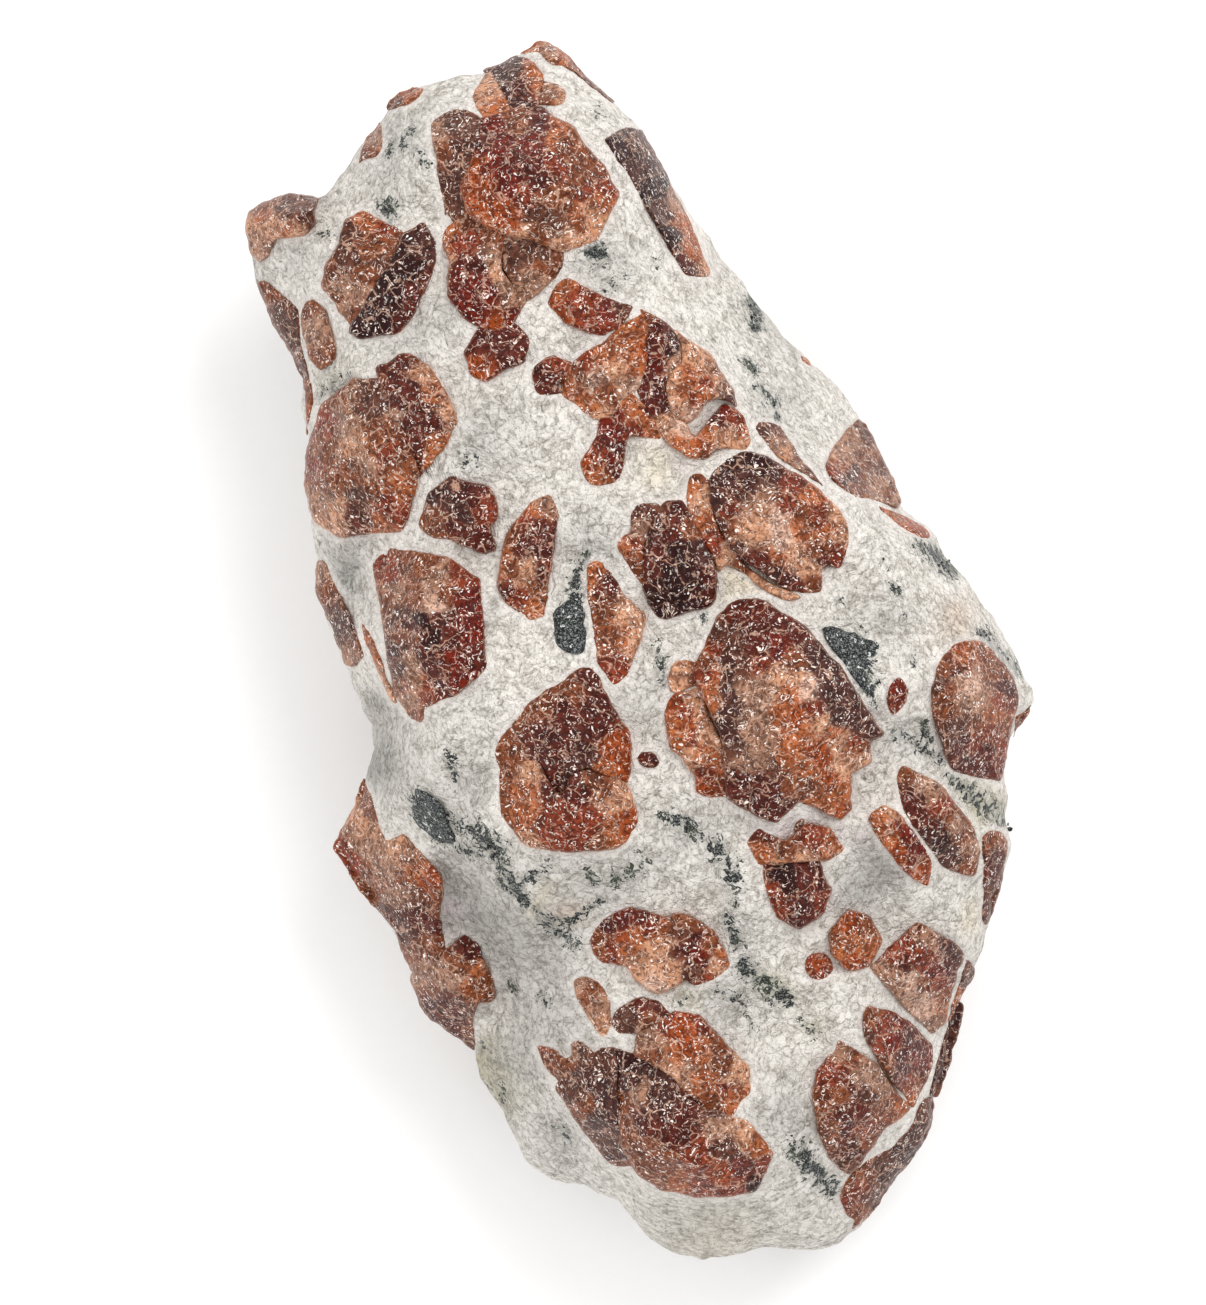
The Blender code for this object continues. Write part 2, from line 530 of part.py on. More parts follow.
def prism(flat, bottom_flat, low, high, frame):
    """A closed prism between two outlines of a local frame (origin, across, along, outwards)."""
    origin, across, along, outwards = frame
    solid = bmesh.new()

    def ring(points, level):
        return [solid.verts.new(origin + across * x + along * y + outwards * level) for x, y in points]

    lower = ring(bottom_flat, low)
    upper = ring(flat, high)
    solid.faces.new(lower[::-1])
    solid.faces.new(upper)
    count = len(lower)
    for index in range(count):
        following = (index + 1) % count
        solid.faces.new([lower[index], lower[following], upper[following], upper[index]])
    return solid


def spread_of(flat, middle):
    """Distance from the middle of an outline to its edge, in directions given later."""
    arms = flat - middle
    angles = np.arctan2(arms[:, 1], arms[:, 0])
    order = np.argsort(angles)
    table = np.concatenate([angles[order] - TURN, angles[order], angles[order] + TURN])
    radii = np.tile(np.hypot(*arms[order].T), 3)
    return lambda angle: float(np.interp(angle, table, radii))


def facet_seeds(flat, middle, chance):
    """The middle and a ring of points part of the way to the edge, where the facets touch the dome."""
    reach = spread_of(flat, middle)
    length = np.sqrt(abs(signed_area(flat)))
    count = 4 if length < SMALL_CRYSTAL else 5 if length < MEDIUM_CRYSTAL else 7
    start = chance.uniform(0, TURN)
    seeds = [middle]
    for index in range(count):
        angle = start + (index + chance.uniform(-FACET_SWAY, FACET_SWAY)) * TURN / count
        angle = math.atan2(math.sin(angle), math.cos(angle))
        arm = reach(angle) * chance.uniform(*FACET_REACH)
        seeds.append(middle + arm * np.array([math.cos(angle), math.sin(angle)]))
    return seeds


def faceted(solid, dome, seeds, frame):
    """Cuts a prism's head with the planes that touch the dome at the seeds."""
    origin, across, along, outwards = frame
    for x, y in seeds:
        level = dome(x, y)
        slope_x = (dome(x + SLOPE_STEP, y) - dome(x - SLOPE_STEP, y)) / (2 * SLOPE_STEP)
        slope_y = (dome(x, y + SLOPE_STEP) - dome(x, y - SLOPE_STEP)) / (2 * SLOPE_STEP)
        point = origin + across * x + along * y + outwards * level
        normal = (outwards - across * slope_x - along * slope_y).normalized()
        cut(solid, point, normal)


def add_cutter(name, solid, sockets):
    """Puts a cutter into the collection of sockets, hidden from the render."""
    cutter = object_from(name, solid, None)
    cutter.hide_render = True
    cutter.display_type = "WIRE"
    bpy.context.scene.collection.objects.unlink(cutter)
    sockets.objects.link(cutter)


def seated_crystal(name, outline, rise, ground, material, sockets, frame, chance):
    """A crystal with a faceted head and the larger cutter for its socket.

    outline is in the frame's own x and y, and ground(x, y) is the level of the matrix there."""
    flat = outline if signed_area(outline) > 0 else outline[::-1]
    flat = grown(flat, -CLEARANCE / 2)
    middle = middle_of(flat)
    size = math.sqrt(abs(signed_area(flat)))
    depth = min(max(DEPTH_SHARE * size, SMALLEST_DEPTH), LARGEST_DEPTH)
    levels = ground(*flat.T)
    if np.ptp(levels) > STEEP_DROP:
        depth = min(depth, STEEP_DEPTH)
    low = float(levels.min()) - depth
    high = float(levels.max()) + HEAD_ROOM
    bottom_flat = middle + (flat - middle) * BOTTOM_TAPER

    def dome(x, y):
        share = min(1.0, float(np.hypot(x - middle[0], y - middle[1])) / (DOME_SHARE * size))
        return float(ground(x, y)) + CRYSTAL_LIP + rise * (1 - share**2)

    crystal = prism(flat, bottom_flat, low, high, frame)
    faceted(crystal, dome, facet_seeds(flat, middle, chance), frame)
    bmesh.ops.remove_doubles(crystal, verts=crystal.verts, dist=MERGE_DISTANCE)
    piece = object_from(name, crystal, material)

    mouth, floor = grown(flat, SOCKET_MARGIN), grown(bottom_flat, SOCKET_MARGIN)
    bottom = low - SOCKET_MARGIN
    add_cutter(f"socket_of_{name}", prism(mouth, floor, bottom, high + OVERCUT, frame), sockets)
    strip = rim_strip(flat, bottom_flat, mouth) if frame is VIEW_FRAME else None
    if strip is not None:
        if signed_area(strip) < 0:
            strip = strip[::-1]
        add_cutter(f"rim_cut_of_{name}", prism(strip, strip, bottom, high + OVERCUT, frame), sockets)
    return piece


def rim_strip(flat, bottom_flat, mouth):
    """Outline of the strip from under a crystal's corners on the silhouette to past the silhouette,
    or None where fewer than two corners in a row lie on it."""
    radius = outline_radius(np.arctan2(flat[:, 1], flat[:, 0]))
    on_rim = np.hypot(*flat.T) > radius - RIM_ZONE
    if on_rim.sum() < 2:
        return None
    first = int(np.argmax(on_rim & ~np.roll(on_rim, 1)))
    order = np.roll(np.arange(len(flat)), -first)
    run = order[on_rim[order]]
    outer = mouth[run] * (1 + RIM_REACH / radius[run])[:, None]
    return np.vstack([bottom_flat[run], outer[::-1]])


VIEW_FRAME = (Vector((0, 0, 0)), Vector((1, 0, 0)), Vector((0, 1, 0)), Vector((0, 0, 1)))


def side_frame(degrees, place):
    """Local frame on the lower side of the rock: its origin on the skin, and outwards along the
    skin's normal there."""

    def skin(angle, share):
        radius = share * float(outline_radius(angle))
        x, y = radius * math.cos(angle), radius * math.sin(angle)
        return Vector((x, y, float(belly_level(x, y))))

    angle = math.radians(degrees)
    angle = math.atan2(math.sin(angle), math.cos(angle))
    share = 1 + place
    origin = skin(angle, share)
    around = skin(angle + AROUND_STEP, share) - skin(angle - AROUND_STEP, share)
    inwards = skin(angle, share - INWARD_STEP) - skin(angle, share + INWARD_STEP)
    outwards = inwards.cross(around).normalized()
    if outwards.dot(origin - Vector((0, 0, CORE_HEIGHT))) < 0:
        outwards = -outwards
    across = around.normalized()
    return origin, across, outwards.cross(across).normalized(), outwards


def side_outline(width, height, turn, chance):
    """An uneven oval of straight sides, turned in its plane, in metres."""
    angles = np.arange(SIDE_CORNERS) * TURN / SIDE_CORNERS
    stretch = MM * (1 + chance.uniform(-SIDE_UNEVENNESS, SIDE_UNEVENNESS, SIDE_CORNERS))
    oval = np.column_stack([np.cos(angles) * width / 2, np.sin(angles) * height / 2])
    oval = oval * stretch[:, None]
    lean = math.radians(turn)
    spin = np.array([[math.cos(lean), -math.sin(lean)], [math.sin(lean), math.cos(lean)]])
    return oval @ spin.T


def flat_ground(x, y):
    """The skin in a side crystal's own frame, where it is level 0 all over."""
    return 0 * np.asarray(x, float)


def main():
    clear_scene()
    matrix_stone = principled("wollastonite", MATRIX_COLOUR, MATRIX_ROUGHNESS)
    garnet_stone = principled("garnet", GARNET_COLOUR, GARNET_ROUGHNESS)
    diopside_stone = principled("diopside", DIOPSIDE_COLOUR, DIOPSIDE_ROUGHNESS)
    matrix = matrix_solid(matrix_stone)

    sockets = bpy.data.collections.new("sockets")
    bpy.context.scene.collection.children.link(sockets)
    chance = np.random.default_rng(SEED)
    for crystals, stone in ((FACE_GARNETS, garnet_stone), (DIOPSIDE_CLUSTERS, diopside_stone)):
        for name, (rise, pixels) in crystals.items():
            outline = to_metres(pixels)
            seated_crystal(name, outline, rise * MM, TOP.level, stone, sockets, VIEW_FRAME, chance)
    for name, (degrees, place, width, height, turn) in SIDE_GARNETS.items():
        outline = side_outline(width, height, turn, chance)
        frame = side_frame(degrees, place)
        seated_crystal(name, outline, SIDE_RISE, flat_ground, garnet_stone, sockets, frame, chance)

    carve = matrix.modifiers.new("sockets", "BOOLEAN")
    carve.operation = "DIFFERENCE"
    carve.operand_type = "COLLECTION"
    carve.collection = sockets
    carve.solver = "EXACT"


main()
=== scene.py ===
"""The looks of the garnet wollastonite rock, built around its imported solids.

The skin of the rock is one pair of height faces, worked out from the same heights as the solids.
Garnets and diopside clusters are closed crystals grown into that skin. Pixel coordinates are those
of the 1206 x 1305 picture, and every length is in metres unless its name says otherwise.
"""

import math

import bpy
import numpy as np
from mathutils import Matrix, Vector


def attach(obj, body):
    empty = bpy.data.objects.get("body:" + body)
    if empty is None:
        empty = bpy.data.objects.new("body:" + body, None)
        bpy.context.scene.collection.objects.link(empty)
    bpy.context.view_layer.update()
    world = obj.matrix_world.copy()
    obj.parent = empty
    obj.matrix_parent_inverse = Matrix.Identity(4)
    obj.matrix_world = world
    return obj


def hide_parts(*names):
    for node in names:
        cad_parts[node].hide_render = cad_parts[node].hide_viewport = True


bl_info = {
    "name": "Garnet wollastonite rock",
    "version": (1, 0, 0),
    "blender": (4, 5, 0),
    "location": "3D View > Sidebar > Rock",
    "description": "Builds the skin, the crystals and the stage of a garnet wollastonite rock",
    "category": "Add Mesh",
}

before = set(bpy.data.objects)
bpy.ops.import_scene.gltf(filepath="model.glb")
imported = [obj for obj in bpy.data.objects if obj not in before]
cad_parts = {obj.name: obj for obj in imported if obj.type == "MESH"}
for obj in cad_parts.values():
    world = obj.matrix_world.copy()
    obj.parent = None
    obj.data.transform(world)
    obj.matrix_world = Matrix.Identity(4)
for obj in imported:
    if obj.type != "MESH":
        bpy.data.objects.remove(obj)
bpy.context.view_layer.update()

MM = 0.001
TURN = 2 * math.pi

# The picture: its length of rock in pixels and metres, and the pixel over the origin
ROCK_LENGTH = 0.110
ROCK_LENGTH_PX = 1222
CENTRE_PX = (640.5, 651.0)
PX = ROCK_LENGTH / ROCK_LENGTH_PX
FRAME_PX = (1206, 1305)


def entries(words):
    """Words of "a b c|d e f" as a list for each entry."""
    return [part.split() for part in words.split("|")]


def numbers(words):
    """Rows of numbers of "1 2 3|4 5 6" as an array."""
    return np.array(entries(words), float)


# The silhouette in pixels, clockwise from the top tip
SILHOUETTE_PX = numbers(
    "540 40|561 51|578 70|600 87|614 101|641 131|657 157|686 208|721 256|750 294|779 326|804 355"
    "|830 377|852 403|874 444|893 489|905 509|929 529|946 556|976 591|1002 632|1020 664|1034 688"
    "|1033 702|1017 729|1006 752|1006 781|1008 819|1011 845|1002 874|993 901|984 942|976 971|964 995"
    "|952 1030|943 1068|932 1100|932 1127|920 1147|893 1180|876 1206|860 1226|842 1243|824 1251"
    "|792 1252|757 1253|733 1257|704 1262|675 1254|651 1241|634 1221|619 1201|598 1196|584 1187"
    "|566 1187|543 1177|528 1165|519 1147|502 1112|480 1080|475 1053|457 1036|440 1027|424 1011|415 993"
    "|409 970|391 926|370 890|347 864|337 844|345 825|360 800|366 780|371 750|370 725|358 705|344 665"
    "|330 627|315 589|318 557|310 525|305 480|307 440|302 374|292 357|272 320|255 281|248 242|247 214"
    "|266 202|286 197|320 199|342 171|356 152|384 118|393 101|412 91|432 82|463 73|494 70|519 56"
)

# Heights, as pixel x, y and millimetres: of the widest line, the pictured face and the face below
RIM_HEIGHTS = numbers(
    "540 40 24|470 72 25|380 125 23|330 185 22|250 215 20|255 290 18|305 400 19|310 520 18|320 600 16"
    "|345 680 16|371 740 17|340 845 15|400 950 14|420 1010 13|475 1050 14|505 1120 12|560 1187 10.5"
    "|620 1200 12|700 1262 12|820 1251 12.5|880 1200 13|932 1120 14|955 1020 15.5|985 930 18"
    "|1010 850 20|1006 770 20|1034 692 17|960 570 17|900 505 16.5|860 415 17|800 352 17.5|700 235 19"
    "|640 130 22|580 72 23.5"
)
PICTURED_FACE = numbers(
    "540 62 27|548 95 31|470 98 30|400 122 28|352 190 26.5|290 208 26|264 226 23.5|300 250 26.5"
    "|335 232 29|400 170 31.5|440 200 33.5|540 180 37.5|590 160 35|612 138 32.5|645 165 28.5"
    "|690 255 27.5|655 235 31.5|620 230 35|600 300 36|700 305 31|640 312 37|690 352 37|735 400 36"
    "|790 478 36|850 503 33.5|925 545 25.5|770 345 24.5|815 405 24.5|850 445 23|882 485 22|480 300 35"
    "|400 300 33|350 290 30|312 330 25|420 420 34|360 460 29.5|322 470 24|500 420 36|600 450 37"
    "|700 430 37.5|640 370 38|480 520 35|560 560 36|650 560 37.5|760 520 38.5|820 540 36|430 620 34.5"
    "|390 640 31|362 600 24|500 640 35.5|560 720 38|650 680 36.5|720 640 38.2|780 690 39.8|832 680 38.4"
    "|856 645 36|880 720 35.5|800 780 38|720 820 36|640 820 36.5|570 800 37|520 780 35.5|450 760 33.5"
    "|420 740 31.5|404 790 28|392 720 24|920 640 32.5|970 700 29|1010 690 22.5|940 760 30.5|985 800 25"
    "|930 820 31|890 830 33|860 790 34|830 830 34.5|820 885 33.5|868 885 30.5|930 902 28|960 905 25"
    "|895 940 27.5|440 812 30|480 850 31.5|560 900 32.5|620 900 33.5|700 870 35|500 930 26.5|560 962 28"
    "|522 1000 22.5|600 1000 29|640 950 32|740 960 33|800 960 31|850 940 30|930 970 23.5|890 1030 25"
    "|930 1030 19|860 1100 25|780 1060 29|700 1060 31|690 1120 31|640 1150 28.5|580 1110 25|560 1060 25"
    "|530 1110 18.5|560 1155 16|750 1180 27|740 1225 20.5|690 1235 18|820 1190 21.5|860 1195 17.5"
    "|412 838 24.5|456 882 25|485 937 23.5|512 1000 21|392 852 22.5|366 842 18.5|420 900 23"
    "|396 915 18.5|455 985 21|438 1005 16.5|470 1020 18"
)
UNDERSIDE = numbers(
    "650 640 -2.2|600 520 -1.8|700 790 -1.8|560 660 -1.4|750 640 -1.2|660 930 0.4|640 380 0.5"
    "|560 300 1.4|450 260 3|350 300 4.5|300 250 7|640 200 3.6|540 120 6|740 400 1.8|860 560 2|950 700 4"
    "|900 880 2.2|800 1010 1.2|860 1120 3|700 1100 1.6|600 1060 2.4|710 1200 3|500 950 2|420 860 3.5"
    "|440 700 1.8|380 520 3|420 400 2"
)
# Flat breaks of the face below: direction in degrees, start in millimetres, slope in degrees
BREAKS = [
    (-8, 21, 46), (38, 22, 50), (74, 34, 44), (104, 41, 38), (128, 39, 50), (160, 22, 40),
    (186, 17, 50), (214, 24, 42), (246, 37, 44), (275, 44, 35), (302, 43, 44), (333, 26, 46),
]
CREASE_RADIUS = 0.0022
PICTURED_SHARPNESS = 7.0
UNDERSIDE_SHARPNESS = 5.0
LEAST_ROUNDING = 0.3
SKIN_INSET = 0.0002
FOOT_TAPER = 0.96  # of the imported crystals, whose feet are this share of their outlines
CRYSTAL_GAP = 0.0003  # between two packed crystals
RIM_WAVE = 0.00022  # roughness of the silhouette, and the size of its waves
RIM_WAVE_SIZE = 0.0022

# The skin: cells across and along of its upper face, and grains that stand out of it
TOP_CELLS = (250, 384)
BELLY_CELLS = (125, 192)  # half as many, so that every second rim point is shared
GRAIN_LUMPS = 0.0020
GRAIN_RIDGES = 0.0011
HALO_REACH = 0.00045  # of the raised, clean ground round a crystal
HALO_RISE = 0.00007
SUNK = 0.0005  # the skin's depth under a crystal

# Crystals: grid cell, line of the outline, rounded edge, and the seat below the edge
GARNET_CELL = 0.00021
SIDE_CELL = GARNET_CELL * 1.2
OUTLINE_STEP = 0.00018
OUTLINE_WAVE = 0.00013
EDGE_RADIUS = 0.00024
EDGE_BAND = 0.0003  # width of the paler chipped edge
SEAT_DROPS = (0.0005, 0.0030)
SIDE_SEAT_DROPS = (0.0005, 0.0020)
SEAT_TAPERS = (1.0, 0.80)
CRYSTAL_LIP = 0.00012  # least height of a head above the skin
FOOT_DEPTH = 0.00005  # of the edge under the skin
SIDE_LIP = 0.00030
SIDE_FOOT = -0.00015
MOST_SLANT = 6  # of the skin under a crystal, as 1 / the upward part of its normal
HEAD_SLANT = 2.5  # and where the tallest head is reckoned
HEAD_LEAST, HEAD_GROWTH = 0.0011, 0.08  # the tallest head: least + growth * sqrt(area)
GOLDEN_SHARE = 0.61803  # spreads the crystals' own numbers evenly from 0 to 1

# Patches of tone on a garnet: how soft their borders are, how far noise moves them, and how wide the
# healed seam between two of them is
PATCH_BLUR = 0.00022
PATCH_WARP = 0.00042
SEAM_REACH = 0.00045

# Tones of the garnets as sRGB values up to 255, each with one letter; the palest, c, is partly
# used as a painted glint
TONES = {
    "k": (52, 18, 16), "m": (96, 39, 28), "w": (114, 31, 12), "r": (138, 61, 36),
    "b": (136, 78, 48), "g": (106, 66, 52), "p": (84, 49, 43), "o": (178, 104, 62),
    "v": (164, 77, 29), "l": (206, 156, 124), "t": (170, 131, 109), "c": (230, 195, 175),
}

# What each garnet of the pictured face looks like: pixel x, y and tone of its patches. Besides its
# own colour, the patches paint the shade of facets turned from the light and the light of those
# turned to it
GARNET_PATCHES = {
    "garnet_left_horn": "262 205 b|275 203 b|290 203 g|305 205 g|295 215 g|280 212 g|305 222 g"
    "|262 218 o|275 222 l|290 226 o|300 232 l|254 225 l|256 240 t|262 250 t|268 232 l",
    "garnet_top_maroon": "510 72 p|525 85 m|505 95 p|536 80 o|515 104 p",
    "garnet_crown": "493 131 w|505 150 w|485 145 m|520 121 b|540 125 m|535 147 w|520 160 m|555 137 o"
    "|570 150 b|585 165 b|600 180 b|608 187 r|590 200 r|560 170 r|545 180 m|575 185 b|555 200 b"
    "|477 168 v|470 185 v|496 174 w|510 190 w|490 195 v|505 210 v|506 222 v|525 205 r|533 217 g"
    "|550 225 g|565 230 g|580 225 o|592 222 l|600 205 o|520 238 l|500 235 o|570 240 l|540 238 b",
    "garnet_crown_flank": "455 130 g|470 125 g|438 135 t|441 155 b|458 150 p|462 175 g|460 160 g"
    "|447 190 g|450 212 g",
    "garnet_red_north": "450 235 o|460 250 r|475 243 r|447 265 l|461 270 w|475 270 m|480 285 w"
    "|492 258 t|500 270 l|505 295 t|490 300 w|465 300 w|480 315 w|497 318 v|514 318 w|520 300 t"
    "|470 230 b|500 240 b|485 228 b",
    "garnet_brown_north": "525 256 g|545 255 g|555 262 b|535 285 t|560 265 g|540 272 b",
    "garnet_small_maroon": "475 350 m|505 345 m|490 370 r|520 355 m|505 368 m|478 372 v",
    "garnet_brown_west": "355 235 g|368 222 o|387 233 r|395 245 b|375 250 b|350 260 g|368 275 b"
    "|380 262 g|340 286 t|355 300 t|345 315 t|332 275 b|335 300 b|360 320 b",
    "garnet_dark_west": "425 235 p|410 270 k|395 300 k|380 325 k|430 255 p|432 280 m|360 330 k"
    "|415 300 m|400 325 m|385 285 k",
    "garnet_west_small": "312 310 b|325 325 t|320 355 b|308 335 t",
    "garnet_shoulder_side": "262 290 b|290 320 g|303 360 g",
    "garnet_dark_oval": "385 372 m|400 362 m|395 385 m|410 395 m|400 405 m|425 410 m|435 425 m"
    "|415 430 m|420 450 m|418 462 m|425 375 l|432 390 o|440 405 b|448 415 l|450 430 t|445 445 o"
    "|435 455 o|430 465 o|420 358 b|380 385 b|392 420 t|405 445 r|415 470 r",
    "garnet_west_large": "335 395 b|350 385 t|366 387 g|372 405 g|345 426 t|355 445 l|322 426 r"
    "|312 440 b|330 450 b|311 470 r|325 480 b|340 475 b|324 519 l|338 515 l|315 505 t|361 501 g"
    "|350 515 m|375 495 b|387 501 r|405 517 r|395 530 o|374 439 b|387 457 r|400 470 b|398 490 o"
    "|370 465 t|355 470 b|385 430 b",
    "garnet_west_middle": "440 495 p|475 495 m|450 525 m|485 540 m|430 520 b|460 510 p|440 540 b"
    "|490 510 r",
    "garnet_middle_maroon": "548 503 t|540 512 o|545 530 m|535 545 m|550 550 m|540 575 m|525 545 m"
    "|510 535 b|505 555 o|515 570 b|526 575 l|535 590 b|510 590 m|520 598 r|535 610 o|545 600 b"
    "|552 570 r|500 575 o|510 515 o|528 520 r",
    "garnet_west_block": "382 558 r|390 575 r|400 560 b|413 574 b|430 565 b|440 580 t|462 579 r"
    "|450 590 b|470 600 w|434 602 c|420 600 b|405 595 b|395 590 t|390 605 b|400 612 g|421 621 k"
    "|410 630 m|431 639 k|440 620 m|465 631 w|450 640 m|457 660 w|475 655 m|457 678 w|435 670 m"
    "|440 690 m|425 655 m|400 650 p|398 668 g|405 680 b|412 665 t|415 685 l|412 700 t|416 712 b"
    "|408 640 b|425 690 r",
    "garnet_long_orange": "592 575 o|610 585 m|602 610 b|635 610 l|625 640 o|615 665 r|632 640 l"
    "|612 640 b",
    "garnet_red_triangle": "627 402 o|618 415 w|612 430 w|630 415 o|645 425 o|655 432 o|632 430 r"
    "|605 445 m|618 450 m|612 465 w|595 455 r|588 468 v|590 478 o|605 478 b|618 472 m",
    "garnet_fan_orange": "640 335 o|646 350 v|630 345 o|605 355 o|585 365 r|575 375 b|595 378 t"
    "|615 372 l|628 385 t|640 392 c|605 395 b|590 405 o|600 418 l|565 380 o|632 365 o",
    "garnet_fan_dark": "648 318 b|658 325 m|655 345 m|668 350 k|672 345 p|678 365 t|660 365 w"
    "|655 385 m|648 405 m|662 400 p|640 393 m",
    "garnet_fan_right": "690 355 l|700 365 l|712 370 b|725 390 g|733 400 p|690 375 o|705 385 r"
    "|715 380 l|680 390 o|690 400 r|700 395 o|678 408 l|688 415 c|670 385 l|720 388 t",
    "garnet_fan_lower": "724 410 w|735 420 r|718 422 m|742 435 o|745 447 l|728 440 l|712 440 o"
    "|700 448 v|690 452 o|678 445 o|668 436 l|664 425 l|680 430 c|705 455 b",
    "garnet_dark_middle": "665 512 g|675 515 m|655 530 p|670 535 m|690 530 b|680 550 k|660 555 m"
    "|650 570 m|670 575 k|690 570 k|700 560 p|700 585 k|680 595 k|660 600 k|690 605 k|708 595 m"
    "|705 575 m|655 585 k",
    "garnet_curved_sliver": "695 490 o|703 500 l|705 520 o|715 545 r|725 555 l|740 568 b|760 583 l"
    "|785 595 l|700 480 b",
    "garnet_right_oval": "740 464 k|724 480 p|716 500 p|724 530 p|736 548 p|760 466 k|775 475 p"
    "|745 480 p|735 495 g|790 486 r|786 508 r|775 495 b|810 500 o|820 516 r|805 515 b|836 516 l"
    "|760 500 t|745 508 t|730 512 r|732 530 b|744 532 l|774 524 c|760 520 l|760 540 l|780 540 c"
    "|792 552 l|810 544 b|800 535 o|840 540 l|830 530 o|838 555 r|825 562 m|770 572 p|755 562 m"
    "|790 584 m|810 582 b|796 568 l|815 570 l|778 560 o|820 550 b",
    "garnet_flank_brown": "850 440 t|860 455 b|845 455 t|838 465 o|850 475 p|860 485 b|870 465 b"
    "|875 485 t|885 490 b|868 435 g|880 470 g|890 500 t|832 470 r",
    "garnet_centre": "740 610 m|755 620 m|780 620 m|800 632 m|720 640 g|735 650 g|712 655 r|705 665 b"
    "|703 680 r|712 690 o|725 665 p|728 690 p|735 710 p|730 730 p|735 750 g|745 665 g|755 650 m"
    "|775 650 w|760 664 r|777 676 l|765 690 t|750 690 t|750 710 t|755 730 t|745 757 t|762 750 t"
    "|770 770 g|788 696 o|785 712 o|795 715 v|802 730 o|790 740 o|816 752 v|805 765 o|830 780 v"
    "|841 808 v|830 800 o|820 790 o|805 780 b|795 665 b|805 688 c|795 680 l|810 650 p|825 665 p"
    "|840 690 p|855 715 p|862 728 p|820 690 p|835 712 p|819 718 l|812 705 r|830 730 o|838 740 l"
    "|850 745 r|855 752 b|858 766 l|845 765 l|788 780 b|775 790 m|774 805 m|760 785 m|745 780 m"
    "|732 791 m|750 800 m|790 762 o|840 785 o",
    "garnet_centre_strip": "680 705 v|690 700 l|700 710 l|685 715 r|675 725 o|690 725 v|680 740 o"
    "|695 740 r|705 735 l|700 750 o|712 755 o|690 755 l|705 770 r|715 775 o|710 785 v|700 788 v"
    "|720 785 r|715 740 l",
    "garnet_big_dark": "588 675 m|575 690 b|590 700 m|560 710 m|530 735 m|508 750 b|600 730 m"
    "|560 745 m|545 705 b|612 740 v|622 765 v|605 770 o|585 755 p|520 725 b|505 735 b|575 760 p"
    "|555 755 m",
    "garnet_big_orange": "523 790 o|530 775 l|545 780 m|575 790 m|600 785 b|560 815 r|525 815 o"
    "|545 835 r|590 825 r|575 845 r|600 845 b|620 800 l|628 825 v|615 835 o|535 842 l",
    "garnet_west_flank": "362 790 b|368 805 b|355 810 l|360 830 l|350 835 t|342 845 r|365 850 t"
    "|378 850 t|352 862 r|365 875 b|390 850 l|400 842 l|410 855 t|385 870 t|395 880 b|420 862 o"
    "|430 870 v|425 885 v|412 872 o|375 893 b|400 895 t|415 900 g|388 908 g|402 915 m|430 900 b"
    "|438 905 b|420 918 m|435 925 m|410 935 g|425 945 b|412 955 b|440 945 b|418 968 t",
    "garnet_southwest_flank": "465 942 m|475 955 m|455 955 b|462 970 b|475 972 o|485 985 b|455 985 t"
    "|440 965 t|430 975 t|445 1000 m|455 1012 m|430 990 b|425 1005 m|470 992 o|490 995 b|465 1005 g"
    "|440 1020 m|455 1030 m|470 1028 b|472 1042 g",
    "garnet_south_oval": "610 925 m|625 920 w|640 915 m|600 940 b|612 950 r|625 940 v|640 935 o"
    "|650 925 r|660 930 o|655 950 l|640 965 l|655 980 c|670 970 l|630 950 o|675 930 g|690 940 m"
    "|700 955 w|710 945 b|680 950 m|695 970 g|715 965 l|705 975 r|685 920 b|720 955 o|660 945 l",
    "garnet_south_orange": "640 1030 t|655 1040 t|665 1020 r|685 1030 v|700 1020 r|690 1045 v"
    "|675 1055 o|655 1050 b|665 1062 l|700 1050 o|715 1045 b|720 1060 b|700 1075 o|735 1070 l"
    "|745 1075 l|725 1085 r|715 1095 b|735 1095 o|745 1062 l|690 1068 t",
    "garnet_south_large": "615 1050 k|635 1060 k|655 1075 p|640 1085 t|628 1080 p|620 1100 b"
    "|660 1095 p|690 1100 m|715 1112 g|625 1130 b|650 1120 m|680 1130 m|640 1150 b|630 1170 b"
    "|660 1165 b|700 1150 r|700 1180 r|720 1125 t|740 1130 l|760 1145 o|765 1160 r|740 1165 w"
    "|720 1170 v|755 1185 k|735 1185 r|680 1190 o|645 1182 b|720 1145 g",
    "garnet_south_side": "600 1060 g|590 1080 p|610 1100 p|575 1095 g|600 1120 p|620 1150 p|605 1140 g"
    "|585 1110 b|625 1170 b",
    "garnet_southeast": "838 1048 t|830 1060 r|825 1080 r|820 1100 b|840 1070 r|850 1060 b|862 1070 t"
    "|850 1085 m|865 1095 g|880 1085 t|895 1100 b|905 1108 o|880 1110 b|860 1115 m|835 1110 m"
    "|830 1130 b|845 1130 m|865 1130 r|850 1150 m|862 1150 m|852 1165 g|870 1140 b|843 1095 b",
    "garnet_east_red": "872 1015 b|868 1028 g|885 1025 r|900 1022 w|915 1035 m|895 1040 w|880 1042 r"
    "|905 1055 m|920 1055 w|925 1070 w|900 1070 m|912 1085 r|912 1100 o|920 1085 b|890 1060 b",
    "garnet_east_brown": "915 932 b|925 940 t|940 935 m|955 945 p|905 945 r|890 955 r|880 965 t"
    "|900 965 m|920 960 r|935 970 w|950 965 m|955 985 r|940 985 r|925 985 b|910 985 c|895 975 t"
    "|900 990 t|925 1005 c|940 1010 o|935 1025 t|945 1000 b|950 1010 r|915 1000 t",
    "garnet_round": "850 925 v|840 945 o|865 945 o|855 960 v|835 930 b|862 930 b",
    "garnet_lower_orange": "765 835 m|760 855 o|785 850 b|810 835 r|830 845 o|800 860 l|775 862 l",
